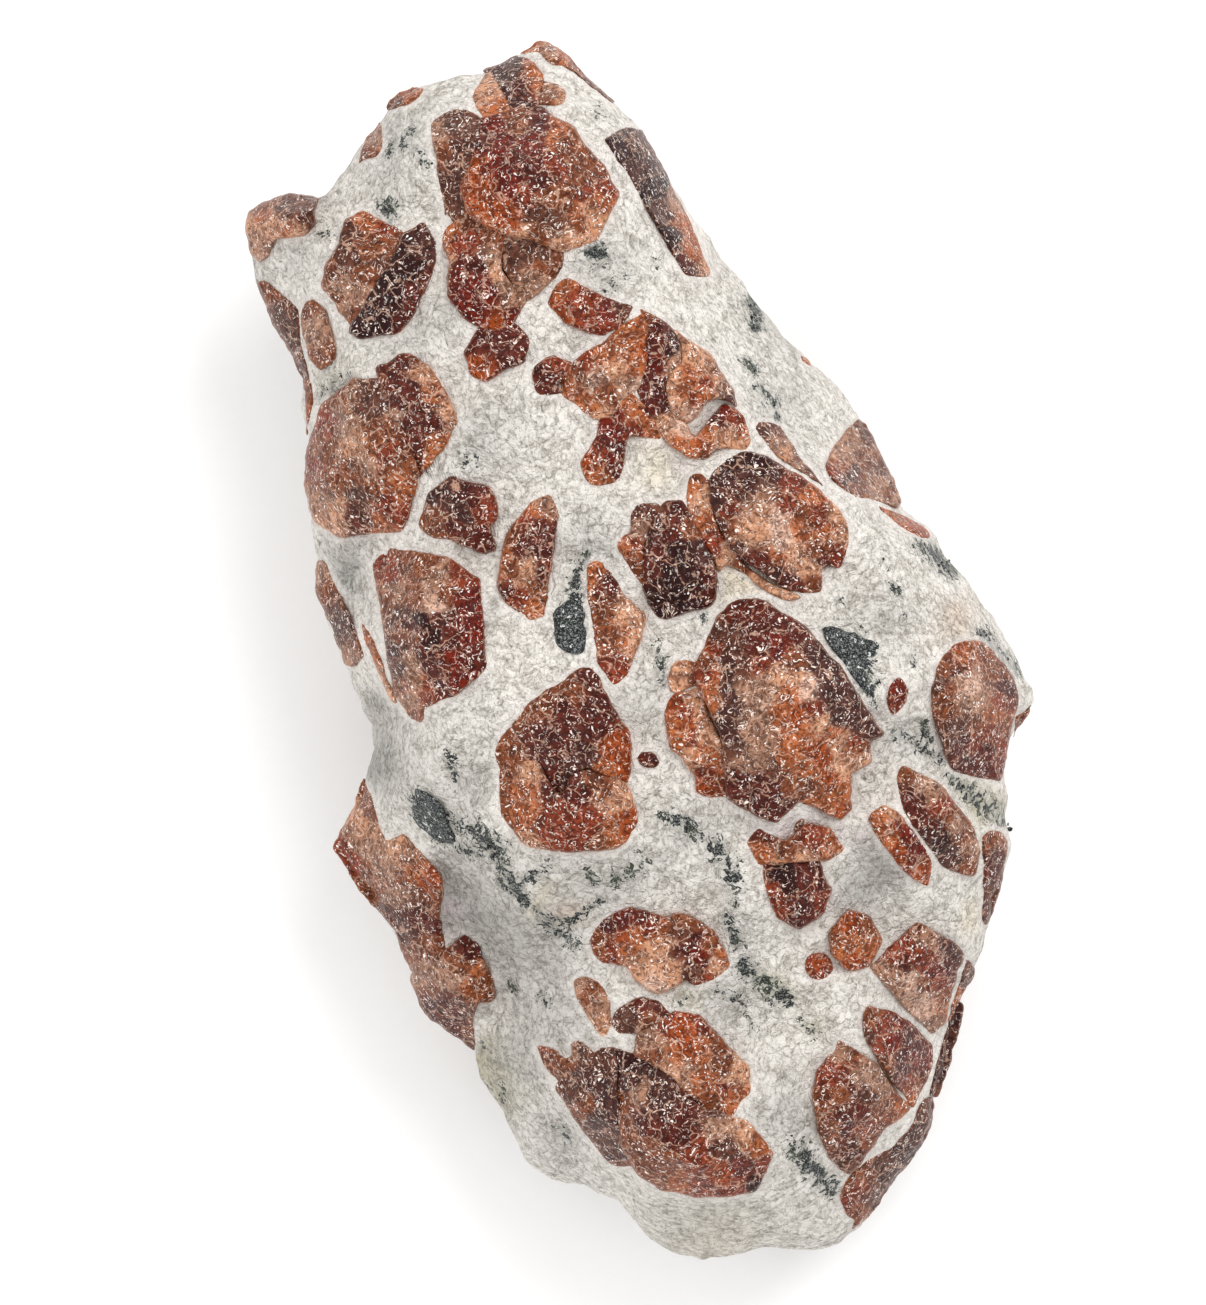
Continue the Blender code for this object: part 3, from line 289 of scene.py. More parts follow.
    "garnet_lower_dark": "785 885 k|800 905 m|815 880 m|822 900 r|775 895 r",
    "garnet_east_orange": "880 815 o|890 820 r|905 835 w|912 848 w|899 852 v|885 840 o|890 810 l"
    "|920 870 v|910 865 r|878 822 o",
    "garnet_east_long": "905 775 b|918 780 t|930 790 t|940 800 r|905 790 m|912 805 m|922 815 m"
    "|935 825 m|945 815 b|955 825 t|962 840 b|940 845 k|950 858 p|960 865 b|970 870 b|972 850 t"
    "|965 815 b|930 840 p",
    "garnet_east_egg": "958 650 v|970 652 o|985 655 b|946 665 b|955 672 m|938 685 g|945 695 b"
    "|960 680 t|970 690 c|980 700 t|965 705 t|950 710 b|985 680 b|1000 672 b|1008 690 m|1000 705 r"
    "|990 715 o|975 720 b|955 730 g|960 745 m|975 745 r|990 735 r|1003 730 b|985 755 m|970 762 m"
    "|990 770 m|998 765 w|945 735 g|1000 750 r",
    "garnet_east_edge": "990 840 b|1000 850 m|992 865 m|990 885 g|988 905 g|1004 845 t",
    "garnet_southeast_edge": "860 1190 r|850 1200 r|870 1170 b|850 1180 b|860 1210 b|885 1160 g"
    "|890 1175 p|875 1195 g|905 1150 p|915 1135 p|925 1110 g|928 1130 p",
    "garnet_upper_flank": "615 150 k|635 140 p|640 170 p|655 190 k|665 220 p|685 225 o|700 250 o"
    "|680 205 t|690 270 m|712 262 l|672 240 k|625 132 p",
    "garnet_upper_orange": "565 290 o|560 310 v|585 310 r|605 315 w|620 310 g|600 330 r|575 300 r",
    "garnet_west_edge": "322 570 t|328 590 b|335 605 g|340 625 p|345 640 g|352 650 b|350 660 t",
}

# Outlines in pixels of crystals that are closer to the picture than those of their solids
REDRAWN = {
    "garnet_left_horn": "248 214|254 208|266 202|278 198|290 196|306 198|320 199|317 206|313 214"
    "|317 224|312 231|303 236|290 238|276 240|272 250|268 258|260 262|253 256|250 244|247 230",
    "garnet_top_maroon": "483 72|492 70|502 66|511 61|519 57|528 62|535 68|544 78|541 88|538 96"
    "|532 106|522 107|512 104|505 99|500 91|496 82|492 76",
    "garnet_fan_dark": "641 312|655 318|667 327|674 334|680 345|682 366|676 374|667 379|664 390"
    "|666 402|658 418|646 410|636 393|641 378|646 366|645 348|648 330",
    "garnet_fan_right": "672 331|684 340|695 349|708 355|719 372|727 383|733 393|736 408|728 402"
    "|716 397|704 405|698 416|688 424|677 420|669 408|664 392|668 378|681 366|680 345",
    "garnet_fan_lower": "724 405|734 411|744 421|750 441|744 451|728 450|713 451|704 460|687 459"
    "|673 448|664 441|656 424|664 414|672 420|686 426|694 440|704 430|714 416",
    "garnet_red_triangle": "627 396|640 404|656 421|661 441|645 438|627 436|625 450|624 463|621 476"
    "|614 483|600 485|591 484|585 473|581 465|588 452|600 436|610 420|619 405",
    "garnet_dark_middle": "649 528|656 514|664 505|680 502|686 510|690 520|698 533|706 549|712 562"
    "|716 580|714 595|712 604|700 609|686 613|674 617|666 619|658 617|648 604|643 590|642 566|643 548",
    "garnet_curved_sliver": "686 502|687 490|690 480|698 475|709 482|711 494|710 506|714 518|720 532"
    "|728 543|736 554|744 564|753 573|764 581|775 588|788 593|800 598|788 600|774 596|762 587|750 578"
    "|738 570|724 563|718 572|712 560|706 548|698 533|691 518",
    "garnet_right_oval": "710 482|714 474|718 468|728 459|740 454|760 455|776 463|796 476|820 494"
    "|838 512|845 525|847 538|845 552|838 567|826 566|818 570|821 580|820 592|804 592|790 590|778 586"
    "|764 576|750 564|738 556|730 549|720 532|714 518|711 506|709 494",
    "garnet_flank_brown": "858 419|864 425|872 437|880 455|890 475|897 490|902 503|896 508|886 503"
    "|876 500|866 498|856 497|840 488|830 478|823 467|828 456|834 446|842 436|850 426",
    "garnet_centre_strip": "668 700|674 695|684 692|694 692|704 697|707 714|718 732|722 750|724 768"
    "|722 794|716 797|706 795|696 791|694 785|697 778|690 768|681 757|673 749|667 743|666 724|666 710",
    "garnet_big_orange": "512 780|514 770|522 761|531 757|540 760|546 770|549 782|556 792|563 793"
    "|567 784|570 777|578 769|589 766|600 772|612 777|621 778|628 786|632 800|636 812|637 822|630 832"
    "|624 842|612 848|596 850|580 851|560 849|545 848|530 846|520 840|514 830|512 815|510 798",
    "garnet_big_dark": "583 668|590 668|597 676|604 690|612 706|620 720|628 732|631 745|631 760"
    "|629 772|627 782|621 779|612 778|600 773|589 767|578 770|571 778|568 785|563 794|556 793|549 783"
    "|546 771|540 761|531 758|522 762|515 771|512 781|511 798|513 815|515 830|508 824|503 812|501 795"
    "|500 780|502 770|498 758|497 748|503 735|515 722|528 706|545 692|560 682|575 672",
    "garnet_west_flank": "364 778|369 795|374 812|380 830|386 843|395 838|404 833|412 842|422 852"
    "|432 864|442 880|442 900|438 915|442 932|446 950|440 962|428 968|414 975|407 960|396 930|383 915"
    "|371 903|360 890|351 876|343 862|335 846|340 834|348 820|356 804|360 790",
    "garnet_southwest_flank": "446 950|454 942|463 935|470 938|477 944|481 956|487 968|494 980|496 998"
    "|488 1002|479 1001|472 1015|473 1033|474 1050|466 1044|457 1037|441 1027|430 1018|422 1009"
    "|417 996|413 984|411 975|425 968|440 962",
    "garnet_south_oval": "590 939|596 928|604 919|618 911|632 907|645 910|655 914|666 917|677 912"
    "|690 915|700 921|710 929|717 937|723 950|728 964|717 975|705 981|694 984|684 977|675 984|664 991"
    "|655 992|645 987|636 978|627 963|618 962|601 959|593 951",
    "garnet_southeast": "837 1039|843 1043|851 1046|866 1056|882 1068|893 1085|909 1109|900 1118"
    "|893 1122|882 1127|875 1140|868 1152|860 1162|850 1172|840 1166|831 1158|825 1146|820 1133"
    "|815 1114|813 1094|814 1082|816 1071|826 1058|836 1051",
    "garnet_east_red": "866 1005|880 1008|893 1012|906 1020|918 1029|932 1046|932 1058|931 1068"
    "|924 1085|913 1107|907 1096|893 1083|882 1066|874 1052|868 1040|863 1030|861 1020",
    "garnet_southeast_edge": "932 1096|921 1102|913 1124|900 1140|893 1148|887 1151|871 1158|858 1168"
    "|848 1178|842 1190|841 1200|847 1216|858 1219|851 1231|862 1222|876 1206|893 1181|908 1163"
    "|922 1146|932 1124|933 1108",
    "garnet_east_egg": "964 641|978 641|990 650|1003 664|1012 678|1016 692|1016 704|1010 728|1006 750"
    "|1000 781|985 778|968 774|953 770|945 756|939 740|933 720|930 700|931 684|935 668|942 656|952 646",
    "garnet_east_edge": "982 836|990 830|1002 832|1008 842|1007 855|1003 870|998 888|993 905|986 925"
    "|982 918|984 900|982 885|984 865|981 850",
    "diopside_middle": "555 613|562 605|570 600|580 600|584 612|583 624|587 637|584 652|574 655"
    "|566 650|558 643|553 630",
    "diopside_centre_right": "820 628|830 626|840 631|852 634|862 638|880 641|875 652|870 662|867 672"
    "|869 684|873 698|862 688|852 676|844 664|835 653|826 642",
    "diopside_west": "416 788|424 790|432 795|438 801|444 808|446 816|450 825|455 836|454 842|446 841"
    "|436 840|428 832|420 826|414 818|413 810|415 798",
}
REDRAWN_MARGIN = 0.00012  # added round them

# Garnets that are grown against each other: the first one's outline is carried over to the second
TOUCHING = entries(
    "garnet_crown_flank garnet_crown|garnet_brown_north garnet_crown|garnet_red_north garnet_crown"
    "|garnet_brown_north garnet_red_north|garnet_small_maroon garnet_red_north"
    "|garnet_top_maroon garnet_crown|crown_pale garnet_top_maroon|crown_orange garnet_top_maroon"
    "|crown_pale garnet_crown|garnet_brown_west garnet_dark_west|garnet_fan_orange garnet_fan_dark"
    "|fan_oval garnet_fan_orange|garnet_red_triangle garnet_fan_orange"
    "|garnet_west_large garnet_dark_oval|garnet_centre_strip garnet_centre|centre_lobe garnet_centre"
    "|garnet_south_side garnet_south_large|garnet_south_orange garnet_south_large"
    "|south_maroon garnet_south_orange|south_red garnet_south_side"
    "|garnet_lower_dark garnet_lower_orange"
)
TOUCHING_REACH = 0.0016  # the widest gap that is closed
TOUCHING_STEP = 0.0004
TOUCHING_OVERLAP = 0.00035  # how far the first reaches under the second

# Small garnets of the pictured face that have no solid: name, rise in millimetres, outline, patches
SMALL_GARNETS = {
    "rim_north": (0.4, "387 113|386 108|391 100|400 94|412 90|424 88|427 90|420 99|409 108|396 111",
        "395 105 g|412 95 o"),
    "rim_brown": (0.4, "381 122|383 136|383 150|378 160|367 160|359 168|357 165|361 152|366 141"
        "|374 130",
        "375 135 t|368 155 b"),
    "tip": (0.5, "519 56|530 48|540 41|552 45|566 52|576 66|588 78|604 91|616 103|613 107|600 96"
        "|590 88|580 80|570 74|562 68|553 68|545 61|540 54|531 55",
        "540 48 o|560 58 o|550 52 t|575 72 b|590 85 g|606 98 g"),
    "crown_pale": (0.5, "480 85|489 78|495 84|500 96|504 106|498 113|485 115|478 108|472 101|475 93",
        "485 95 l|492 105 o"),
    "crown_orange": (0.5, "546 84|553 85|560 88|566 95|566 106|556 111|546 108|538 107|536 102|541 92",
        "550 95 t|562 103 l|548 105 b"),
    "west_sliver": (0.4, "362 622|369 630|376 642|383 660|388 676|394 690|398 704|393 703|385 690"
        "|378 676|370 655|364 640",
        "372 645 o|390 690 l"),
    "fan_oval": (0.6, "531 378|537 366|547 358|560 357|572 358|566 368|560 376|559 388|552 396|543 399"
        "|535 391",
        "545 378 m|562 362 r|540 390 m"),
    "dark_rim": (0.6, "617 543|624 536|630 530|631 512|638 505|650 504|664 505|657 514|650 528|644 547"
        "|643 566|643 588|634 576|626 564|620 554",
        "640 512 p|635 520 g|640 530 t|630 545 r|636 560 b|640 575 b|625 548 o|650 512 g"),
    "flank_strip": (0.5, "754 430|757 424|768 423|780 428|790 444|800 458|810 470|824 489|812 482"
        "|798 473|786 466|774 458|766 446|758 437",
        "760 430 g|775 440 t|785 455 l|775 430 g|795 455 g|805 470 g|795 466 t"),
    "flank_tip": (0.4, "873 503|884 508|898 512|910 518|922 525|931 535|930 540|918 537|903 530"
        "|890 520|880 512",
        "895 515 o|920 530 v"),
    "centre_lobe": (0.6, "669 690|667 678|669 665|675 659|684 656|697 656|702 670|702 692|692 692"
        "|684 690|676 693",
        "680 670 l|688 665 o|678 685 l|695 680 b"),
    "speck_oval": (0.5, "635 757|641 750|650 750|658 757|660 762|655 768|645 767|638 764",
        "648 758 m"),
    "pale_lobe": (0.4, "573 981|577 976|582 974|590 975|596 979|602 985|607 993|611 1000|612 1007"
        "|612 1016|611 1024|604 1036|600 1033|596 1029|592 1022|587 1015|581 1005|576 995",
        "590 990 b|583 984 t|600 1008 t|602 1024 l"),
    "south_maroon": (0.7, "612 1012|618 1006|627 1001|636 997|646 995|657 997|666 1001|666 1008"
        "|654 1016|643 1024|630 1033|617 1032|613 1024",
        "640 1003 m|625 1020 g|655 1003 m|635 1015 p|645 1015 b"),
    "south_red": (0.5, "534 1043|542 1044|551 1046|557 1052|562 1057|568 1053|571 1050|569 1043"
        "|572 1038|579 1037|593 1043|590 1050|587 1056|578 1063|570 1068|562 1076|555 1081|550 1074"
        "|545 1066|539 1055",
        "545 1052 b|560 1065 b|575 1045 t|585 1050 g|555 1075 g|540 1046 r"),
    "round_red": (0.6, "803 962|806 956|811 952|817 951|824 953|829 958|832 965|830 972|825 977"
        "|818 979|811 978|806 973|803 968",
        "816 964 v|822 970 r|810 958 r"),
    "east_small": (0.5, "886 690|890 680|898 675|904 682|908 690|906 700|898 710|890 716|886 708"
        "|884 700",
        "896 690 w|892 706 r"),
    "east_rim": (0.4, "966 958|974 962|975 974|968 986|960 1002|953 1018|948 1024|950 1005|956 988"
        "|962 972",
        "967 970 g|955 1005 o"),
    "flank_speck": (0.3, "800 355|806 358|814 366|817 369|808 366|802 362",
        "808 362 o"),
    "west_rim": (0.4, "302 372|309 368|313 385|315 402|310 420|307 437|306 413",
        "308 390 b|310 415 o"),
    "east_point": (0.4, "1013 715|1024 710|1033 702|1030 712|1017 729|1013 740",
        "1022 716 b"),
    "fan_web": (0.3, "640 400|654 384|670 380|684 400|688 424|678 442|662 442|648 428",
        "655 405 m|680 415 l|672 435 l"),
    "north_web": (0.2, "470 236|500 226|540 236|548 252|530 268|506 262|484 252",
        "500 240 b|520 255 t|480 240 o"),
    "crown_web": (0.2, "448 196|476 200|486 222|474 236|456 230|446 214",
        "460 215 g|472 225 b"),
    "edge_band": (0.3, "954 1000|964 1004|960 1030|952 1060|944 1085|937 1099|929 1096|933 1075"
        "|938 1055|944 1030|950 1010",
        "953 1010 p|945 1040 p|936 1075 p|932 1092 g"),
    "quartz_side": (0.4, "790 826|796 818|803 816|806 820|800 832|793 834",
        "798 825 g"),
}

# Crystals on the sides, out of the picture: direction in degrees, place, width and height in
# millimetres, and turn in degrees
SIDE_GARNETS = {
    "garnet_side_east": (8, -0.10, 13, 8, 20),
    "garnet_side_north": (62, -0.12, 11, 7.5, -15),
    "garnet_side_northwest": (118, -0.14, 12, 8, 30),
    "garnet_side_west": (196, -0.10, 10, 7, -25),
    "garnet_side_southwest": (252, -0.12, 10, 6, 15),
    "garnet_side_south": (282, -0.12, 12, 7, 10),
}

# Diopside: streaks from pixel x, y to x, y, half width in pixels and strength
DIOPSIDE_STREAKS = numbers(
    "389 208 389 214 8 1|326 226 331 234 6 0.5|388 156 395 143 3 0.8|401 149 414 134 4 0.6"
    "|421 160 431 167 3 0.8|590 250 598 257 8 1|604 293 628 277 4 0.5|750 303 758 327 6 1"
    "|745 362 755 373 4 0.9|758 391 773 404 5 0.9|776 416 778 420 3 0.8|467 460 477 466 6 0.4"
    "|586 558 571 590 6 0.8|660 657 663 682 5 0.8|702 616 704 620 3 0.8|890 586 896 590 4 0.8"
    "|836 600 840 604 3 0.6|902 616 904 620 3 0.7|911 655 913 663 3 0.7|921 545 952 572 7 1"
    "|979 634 1015 672 6 0.9|921 724 927 739 4 0.8|893 732 948 762 5 0.6|952 778 1004 822 7 0.8"
    "|322 398 348 378 6 0.6|450 756 458 785 5 0.5|462 824 498 860 9 0.5|452 818 476 834 6 0.8"
    "|472 828 484 838 8 0.8|486 838 500 852 8 0.9|464 846 474 852 5 0.8|496 856 526 902 5 0.9"
    "|520 880 550 866 5 0.6|500 880 545 915 3 0.9|545 915 570 921 3 0.9|570 921 602 898 3 0.8"
    "|548 923 575 943 6 0.6|510 982 516 990 4 0.7|541 997 547 1001 4 0.7|612 882 638 862 8 0.6"
    "|589 872 597 880 4 0.8|664 815 700 834 6 0.8|712 842 732 876 9 0.7|734 898 736 902 3 0.9"
    "|725 918 740 943 5 0.7|742 964 784 998 7 1|714 985 743 1000 5 0.5|741 1005 754 1030 3 0.4"
    "|800 1018 812 1030 6 0.5|662 990 680 1002 6 0.4|796 1148 829 1187 8 1|560 1128 571 1140 6 0.4"
    "|490 1085 504 1098 7 0.4|482 1045 490 1060 7 0.4|584 560 576 598 6 0.9|850 640 866 686 9 0.8"
    "|420 800 446 836 8 0.8|880 560 886 566 3 0.5|640 660 655 640 5 0.3|860 690 872 705 6 0.6"
    "|600 120 596 108 4 0.4|430 250 432 256 3 0.3|655 262 657 270 2 0.6|735 575 745 580 4 0.3"
)
DIOPSIDE_NODES = ("diopside_middle", "diopside_centre_right", "diopside_west")

# Tinted ground of the matrix: pixel x, y, radius in pixels, tint and strength. The grey tints are
# partly grey patches and partly painted shade on steep flanks, in grooves and under undercuts
GROUND_TINTS = entries(
    "740 578 26 cream 0.8|655 465 30 cream 0.6|955 628 22 rust 0.35|965 920 18 cream 0.6"
    "|710 1245 50 cream 0.35|540 898 14 cream 0.9|572 911 14 rust 0.5|345 570 30 grey 0.8"
    "|382 760 34 grey 0.8|388 710 22 grey 0.6|440 880 36 grey 0.5|520 940 50 grey 0.6"
    "|470 900 40 grey 0.6|590 900 45 grey 0.4|885 868 34 grey 0.6|860 890 26 grey 0.5"
    "|700 1222 48 grey 0.3|560 1010 40 grey 0.4|520 1060 36 grey 0.5|400 150 40 grey 0.35"
    "|600 270 35 grey 0.35|480 440 40 grey 0.35|590 550 35 grey 0.45|640 700 40 grey 0.35"
    "|680 830 34 grey 0.35|735 935 26 grey 0.35|730 1000 40 grey 0.35|910 740 30 grey 0.4"
    "|870 620 35 grey 0.35|790 330 40 grey 0.25|780 410 30 grey 0.3|560 1140 36 grey 0.35"
    "|490 1085 26 olive 0.5|486 1052 18 olive 0.6|340 380 20 olive 0.35|780 1110 34 grey 0.45"
    "|470 780 30 grey 0.5|430 340 34 grey 0.35|300 255 20 grey 0.3|450 700 26 grey 0.3"
    "|640 880 26 grey 0.3|775 992 16 olive 0.4|806 1024 14 olive 0.5|980 800 26 olive 0.5"
    "|690 990 20 olive 0.3|770 830 16 lilac 0.9|792 815 14 lilac 0.9|800 838 10 lilac 0.8"
    "|500 600 14 grey 0.3|752 822 10 lilac 0.9|812 812 9 lilac 0.8|835 822 10 lilac 0.7"
    "|860 842 12 lilac 0.5|446 900 10 lilac 0.8|452 925 10 lilac 0.8|710 414 10 lilac 0.8"
    "|690 470 12 lilac 0.5"
)
# Colours of the tints; grey is used both for grey patches and for painted shade
TINTS = {
    "grey": (150, 150, 148), "cream": (226, 214, 190), "rust": (205, 165, 130),
    "olive": (168, 160, 120), "lilac": (206, 192, 196),
}

# Other colours of the materials as sRGB values up to 255
SHADES = {
    "dull fibre": (158, 152, 144), "bright fibre": (250, 248, 245), "gap": (96, 92, 86),
    "smear": (136, 139, 130), "black speck": (20, 22, 22), "green speck": (50, 55, 38),
    "pale speck": (132, 137, 132), "dull halo": (200, 191, 184), "bright halo": (236, 231, 226),
    "veil": (128, 98, 82), "pit": (34, 14, 10), "squiggle": (252, 234, 222),
    "seam": (214, 174, 150), "fleck and painted glint": (255, 250, 246), "chipped edge": (200, 146, 112),
    "diopside": (9, 10, 11), "worn diopside": (40, 44, 44), "olive diopside": (60, 64, 46),
    "dust": (172, 177, 175), "glint": (214, 214, 210), "card": (250, 250, 250),
    "bright card": (254, 254, 254),
}
DIM_TONE = (0.34, 0.27, 0.25, 1.0)  # a garnet's tone is multiplied by these where it is dim or bright
BRIGHT_TONE = (0.92, 0.84, 0.78, 1.0)

# The stage: place and size of the two lights, and the floor's rings as radius and height
KEY_PLACE, KEY_SIZE = (0.35, 0.45, 0.75), 0.55
FILL_PLACE, FILL_SIZE = (-0.60, -0.10, 0.55), 0.60
FLOOR_RINGS = [(0.0, 0.0), (0.2, 0.0), (0.8, 0.0), (2.0, 0.0), (4.0, 0.0), (4.1, -0.05)]
FLOOR_SIDES = 96
WIDEST_LINE = 0.017  # mean height of the rock's widest line
SENSOR_HEIGHT = 24.0


def linear(colour):
    """sRGB values up to 255 as linear light: ((c + 0.055) / 1.055) ** 2.4, or c / 12.92 when dark."""
    share = np.asarray(colour, float) / 255
    return np.where(share <= 0.04045, share / 12.92, ((share + 0.055) / 1.055) ** 2.4)


def to_metres(pixels):
    """Pixel points as x and y in metres."""
    points = np.asarray(pixels, float)[..., :2]
    return (points - CENTRE_PX) * (PX, -PX)


def read_points(words):
    """Numbers of "x y|x y" as an array of rows."""
    return np.array([entry[:2] for entry in entries(words)], float)


def read_patches(words):
    """Places in metres and linear colours of "x y tone|..."."""
    tones = [linear(TONES[tone]) for _, _, tone in entries(words)]
    return to_metres(read_points(words)), np.array(tones)


def hashed(cell, seed):
    """A number from 0 to 1 for each row of whole numbers, by multiplying and mixing its bits."""
    big = np.asarray(cell, np.int64).astype(np.uint64)
    mixed = np.full(big.shape[:-1] or 1, (seed * 0x9E3779B1 + 0x7F4A7C15) % 2**32, np.uint64)
    for axis in range(big.shape[-1]):
        mixed = (mixed ^ big[..., axis]) * np.uint64(0x100000001B3)
        mixed ^= mixed >> np.uint64(29)
    mixed = mixed * np.uint64(0xD6E8FEB86659FD93)
    return ((mixed >> np.uint64(40)) & np.uint64(0xFFFFFF)).astype(float) / 0xFFFFFF


def noise(points, size, seed):
    """Smooth noise from -1 to 1: random corner values of cubes of a size, blended by 3t^2 - 2t^3."""
    place = np.asarray(points, float) / size + 500
    cell = np.floor(place)
    part = place - cell
    blend = part * part * (3 - 2 * part)
    total = 0
    for corner in np.ndindex(*(2,) * place.shape[-1]):
        weight = np.prod(np.where(corner, blend, 1 - blend), axis=-1)
        total = total + weight * hashed(cell + corner, seed)
    return 2 * total - 1


def rough(points, size, seed, layers=3):
    """Noise with finer, weaker layers on top: each has half the size and 0.55 of the strength."""
    return sum(noise(points, size / 2**k, seed + k) * 0.55**k for k in range(layers))


def round_the_rock(pixels, values):
    """Angles of pixel points and a value for each, repeated a turn past both ends."""
    flat = to_metres(pixels)
    angles = np.arctan2(flat[:, 1], flat[:, 0])
    order = np.argsort(angles)
    turns = np.concatenate([angles[order] + shift for shift in (-TURN, 0, TURN)])
    return turns, np.tile(values[order], 3)


SILHOUETTE = round_the_rock(SILHOUETTE_PX, np.hypot(*to_metres(SILHOUETTE_PX).T))
RIM = round_the_rock(RIM_HEIGHTS, RIM_HEIGHTS[:, 2] * MM)


def outline_radius(angle):
    """Distance of the silhouette in a direction, with a little roughness."""
    plain = np.interp(angle, *SILHOUETTE) - SKIN_INSET
    place = np.stack([np.cos(angle), np.sin(angle)], -1) * plain[..., None]
    return plain + RIM_WAVE * rough(place, RIM_WAVE_SIZE, 5, 2)


def rim_height(angle):
    """Height of the widest line in a direction."""
    return np.interp(angle, *RIM)


def rounding(share, sharpness):
    """Square root of 1 - share**sharpness: 1 in the middle, 0 at the rim."""
    return np.sqrt(np.clip(1 - np.clip(share, 0, 1) ** sharpness, 0, 1))


def broken(x, y, seed, size, tilt):
    """Soft fracture facets: near each of many scattered points the skin follows that point's own
    tilted plane, and between them the planes blend by exp(-(distance / size)**2)."""
    chance = np.random.default_rng(seed)
    reach = ROCK_LENGTH * 0.55
    step = size * 1.35
    lines = np.arange(-reach, reach, step)
    seeds = np.stack(np.meshgrid(lines, lines), -1).reshape(-1, 2)
    seeds = seeds + chance.uniform(-0.45, 0.45, seeds.shape) * step
    slopes = chance.normal(0, tilt, seeds.shape)
    offsets = chance.normal(0, tilt * size * 0.35, len(seeds))
    x, y = np.asarray(x, float), np.asarray(y, float)
    column, row = np.rint((x + reach) / step).astype(int), np.rint((y + reach) / step).astype(int)
    last = len(lines) - 1
    total, weights = 0, 1e-9
    for over, up in np.ndindex(3, 3):
        place = np.clip(row + up - 1, 0, last) * len(lines) + np.clip(column + over - 1, 0, last)
        gap_x, gap_y = x - seeds[place, 0], y - seeds[place, 1]
        weight = np.exp(-(gap_x**2 + gap_y**2) / (0.42 * size) ** 2)
        total = total + weight * (gap_x * slopes[place, 0] + gap_y * slopes[place, 1] + offsets[place])
        weights = weights + weight
    return total / weights


class Face:
    """A height face: rim + (relief - rim) * rounding, where the relief is a sum of cones
    sqrt(distance**2 + crease**2) and a plane through the heights read, and fracture facets on top."""

    def __init__(self, landmarks, sharpness, seed, facets):
        self.sharpness, self.seed, self.facets = sharpness, seed, facets
        self.places = to_metres(landmarks)
        levels = landmarks[:, 2] * MM
        share, rim = self.share_and_rim(*self.places.T)
        relief = rim + (levels - rim) / np.maximum(rounding(share, sharpness), LEAST_ROUNDING)
        count = len(levels)
        plane = np.column_stack([np.ones(count), self.places / ROCK_LENGTH])
        system = np.zeros((count + 3, count + 3))
        system[:count, :count] = self.cones(*self.places.T)
        system[:count, count:] = plane
        system[count:, :count] = plane.T
        self.weights = np.linalg.solve(system, np.append(relief, [0, 0, 0]))

    def cones(self, x, y):
        """Height of every landmark's cone over points x, y."""
        gap = np.hypot(np.subtract.outer(x, self.places[:, 0]), np.subtract.outer(y, self.places[:, 1]))
        return np.hypot(gap, CREASE_RADIUS)

    @staticmethod
    def share_and_rim(x, y):
        """Distance from the middle as a share of the silhouette's, and the rim's height there."""
        angle = np.arctan2(y, x)
        return np.hypot(x, y) / outline_radius(angle), rim_height(angle)

    def level(self, x, y):
        """Height of the face over points x, y."""
        share, rim = self.share_and_rim(x, y)
        relief = self.cones(x, y) @ self.weights[:-3]
        relief = relief + self.weights[-3] + (self.weights[-2] * x + self.weights[-1] * y) / ROCK_LENGTH
        for size, tilt in self.facets:
            relief = relief + broken(x, y, self.seed, size, tilt)
        return rim + (relief - rim) * rounding(share, self.sharpness)


TOP = Face(PICTURED_FACE, PICTURED_SHARPNESS, 3, [(0.0075, 0.085), (0.0030, 0.09)])
BELLY = Face(UNDERSIDE, UNDERSIDE_SHARPNESS, 8, [(0.0090, 0.09), (0.0036, 0.10)])


def break_level(x, y):
    """Height of the highest flat break over points x, y."""
    levels = []
    for degrees, start, slope in BREAKS:
        turn = math.radians(degrees)
        away = x * math.cos(turn) + y * math.sin(turn) - start * MM
        levels.append(math.tan(math.radians(slope)) * away)
    return np.max(levels, axis=0)


def belly_level(x, y):
    """Height of the face below: its relief or its breaks, between the floor and the rim."""
    share, rim = Face.share_and_rim(x, y)
    breaks = break_level(x, y) + broken(x, y, 21, 0.006, 0.10)
    return np.clip(np.maximum(BELLY.level(x, y), breaks), 0, rim - 0.0001 * (share < 0.999))


def even_shares(sharpness, wide, tall, count=4000):
    """Table of share against even steps along the skin, whose length is the sum of
    sqrt((wide dshare)**2 + (tall drounding)**2)."""
    share = 1 - np.linspace(1, 0, count) ** 3
    climb = rounding(share, sharpness)
    length = np.append(0, np.cumsum(np.hypot(np.diff(share) * wide, np.diff(climb) * tall)))
    return length / length[-1], share


TOP_SHARES = even_shares(PICTURED_SHARPNESS, 0.045, 0.018)
BELLY_SHARES = even_shares(UNDERSIDE_SHARPNESS, 0.045, 0.014)


def skin_grid(across, along, level, shares):
    """Points of a face on a grid: the square's x sqrt(1 - y**2 / 2), y sqrt(1 - x**2 / 2) is a disc,
    whose radius is stretched to the silhouette with even steps along the skin."""
    x, y = np.meshgrid(np.linspace(-1, 1, across + 1), np.linspace(-1, 1, along + 1))
    u, v = x * np.sqrt(1 - y**2 / 2), y * np.sqrt(1 - x**2 / 2)
    reach = np.minimum(np.hypot(u, v), 1)
    angle = np.arctan2(v, u)
    share = np.interp(reach, *shares)
    radius = share * outline_radius(angle)
    flat_x, flat_y = radius * np.cos(angle), radius * np.sin(angle)
    height = level(flat_x, flat_y)
    rim = reach > 1 - 1e-9
    height[rim] = rim_height(angle)[rim]
    return np.stack([flat_x, flat_y, height], -1), angle, rim


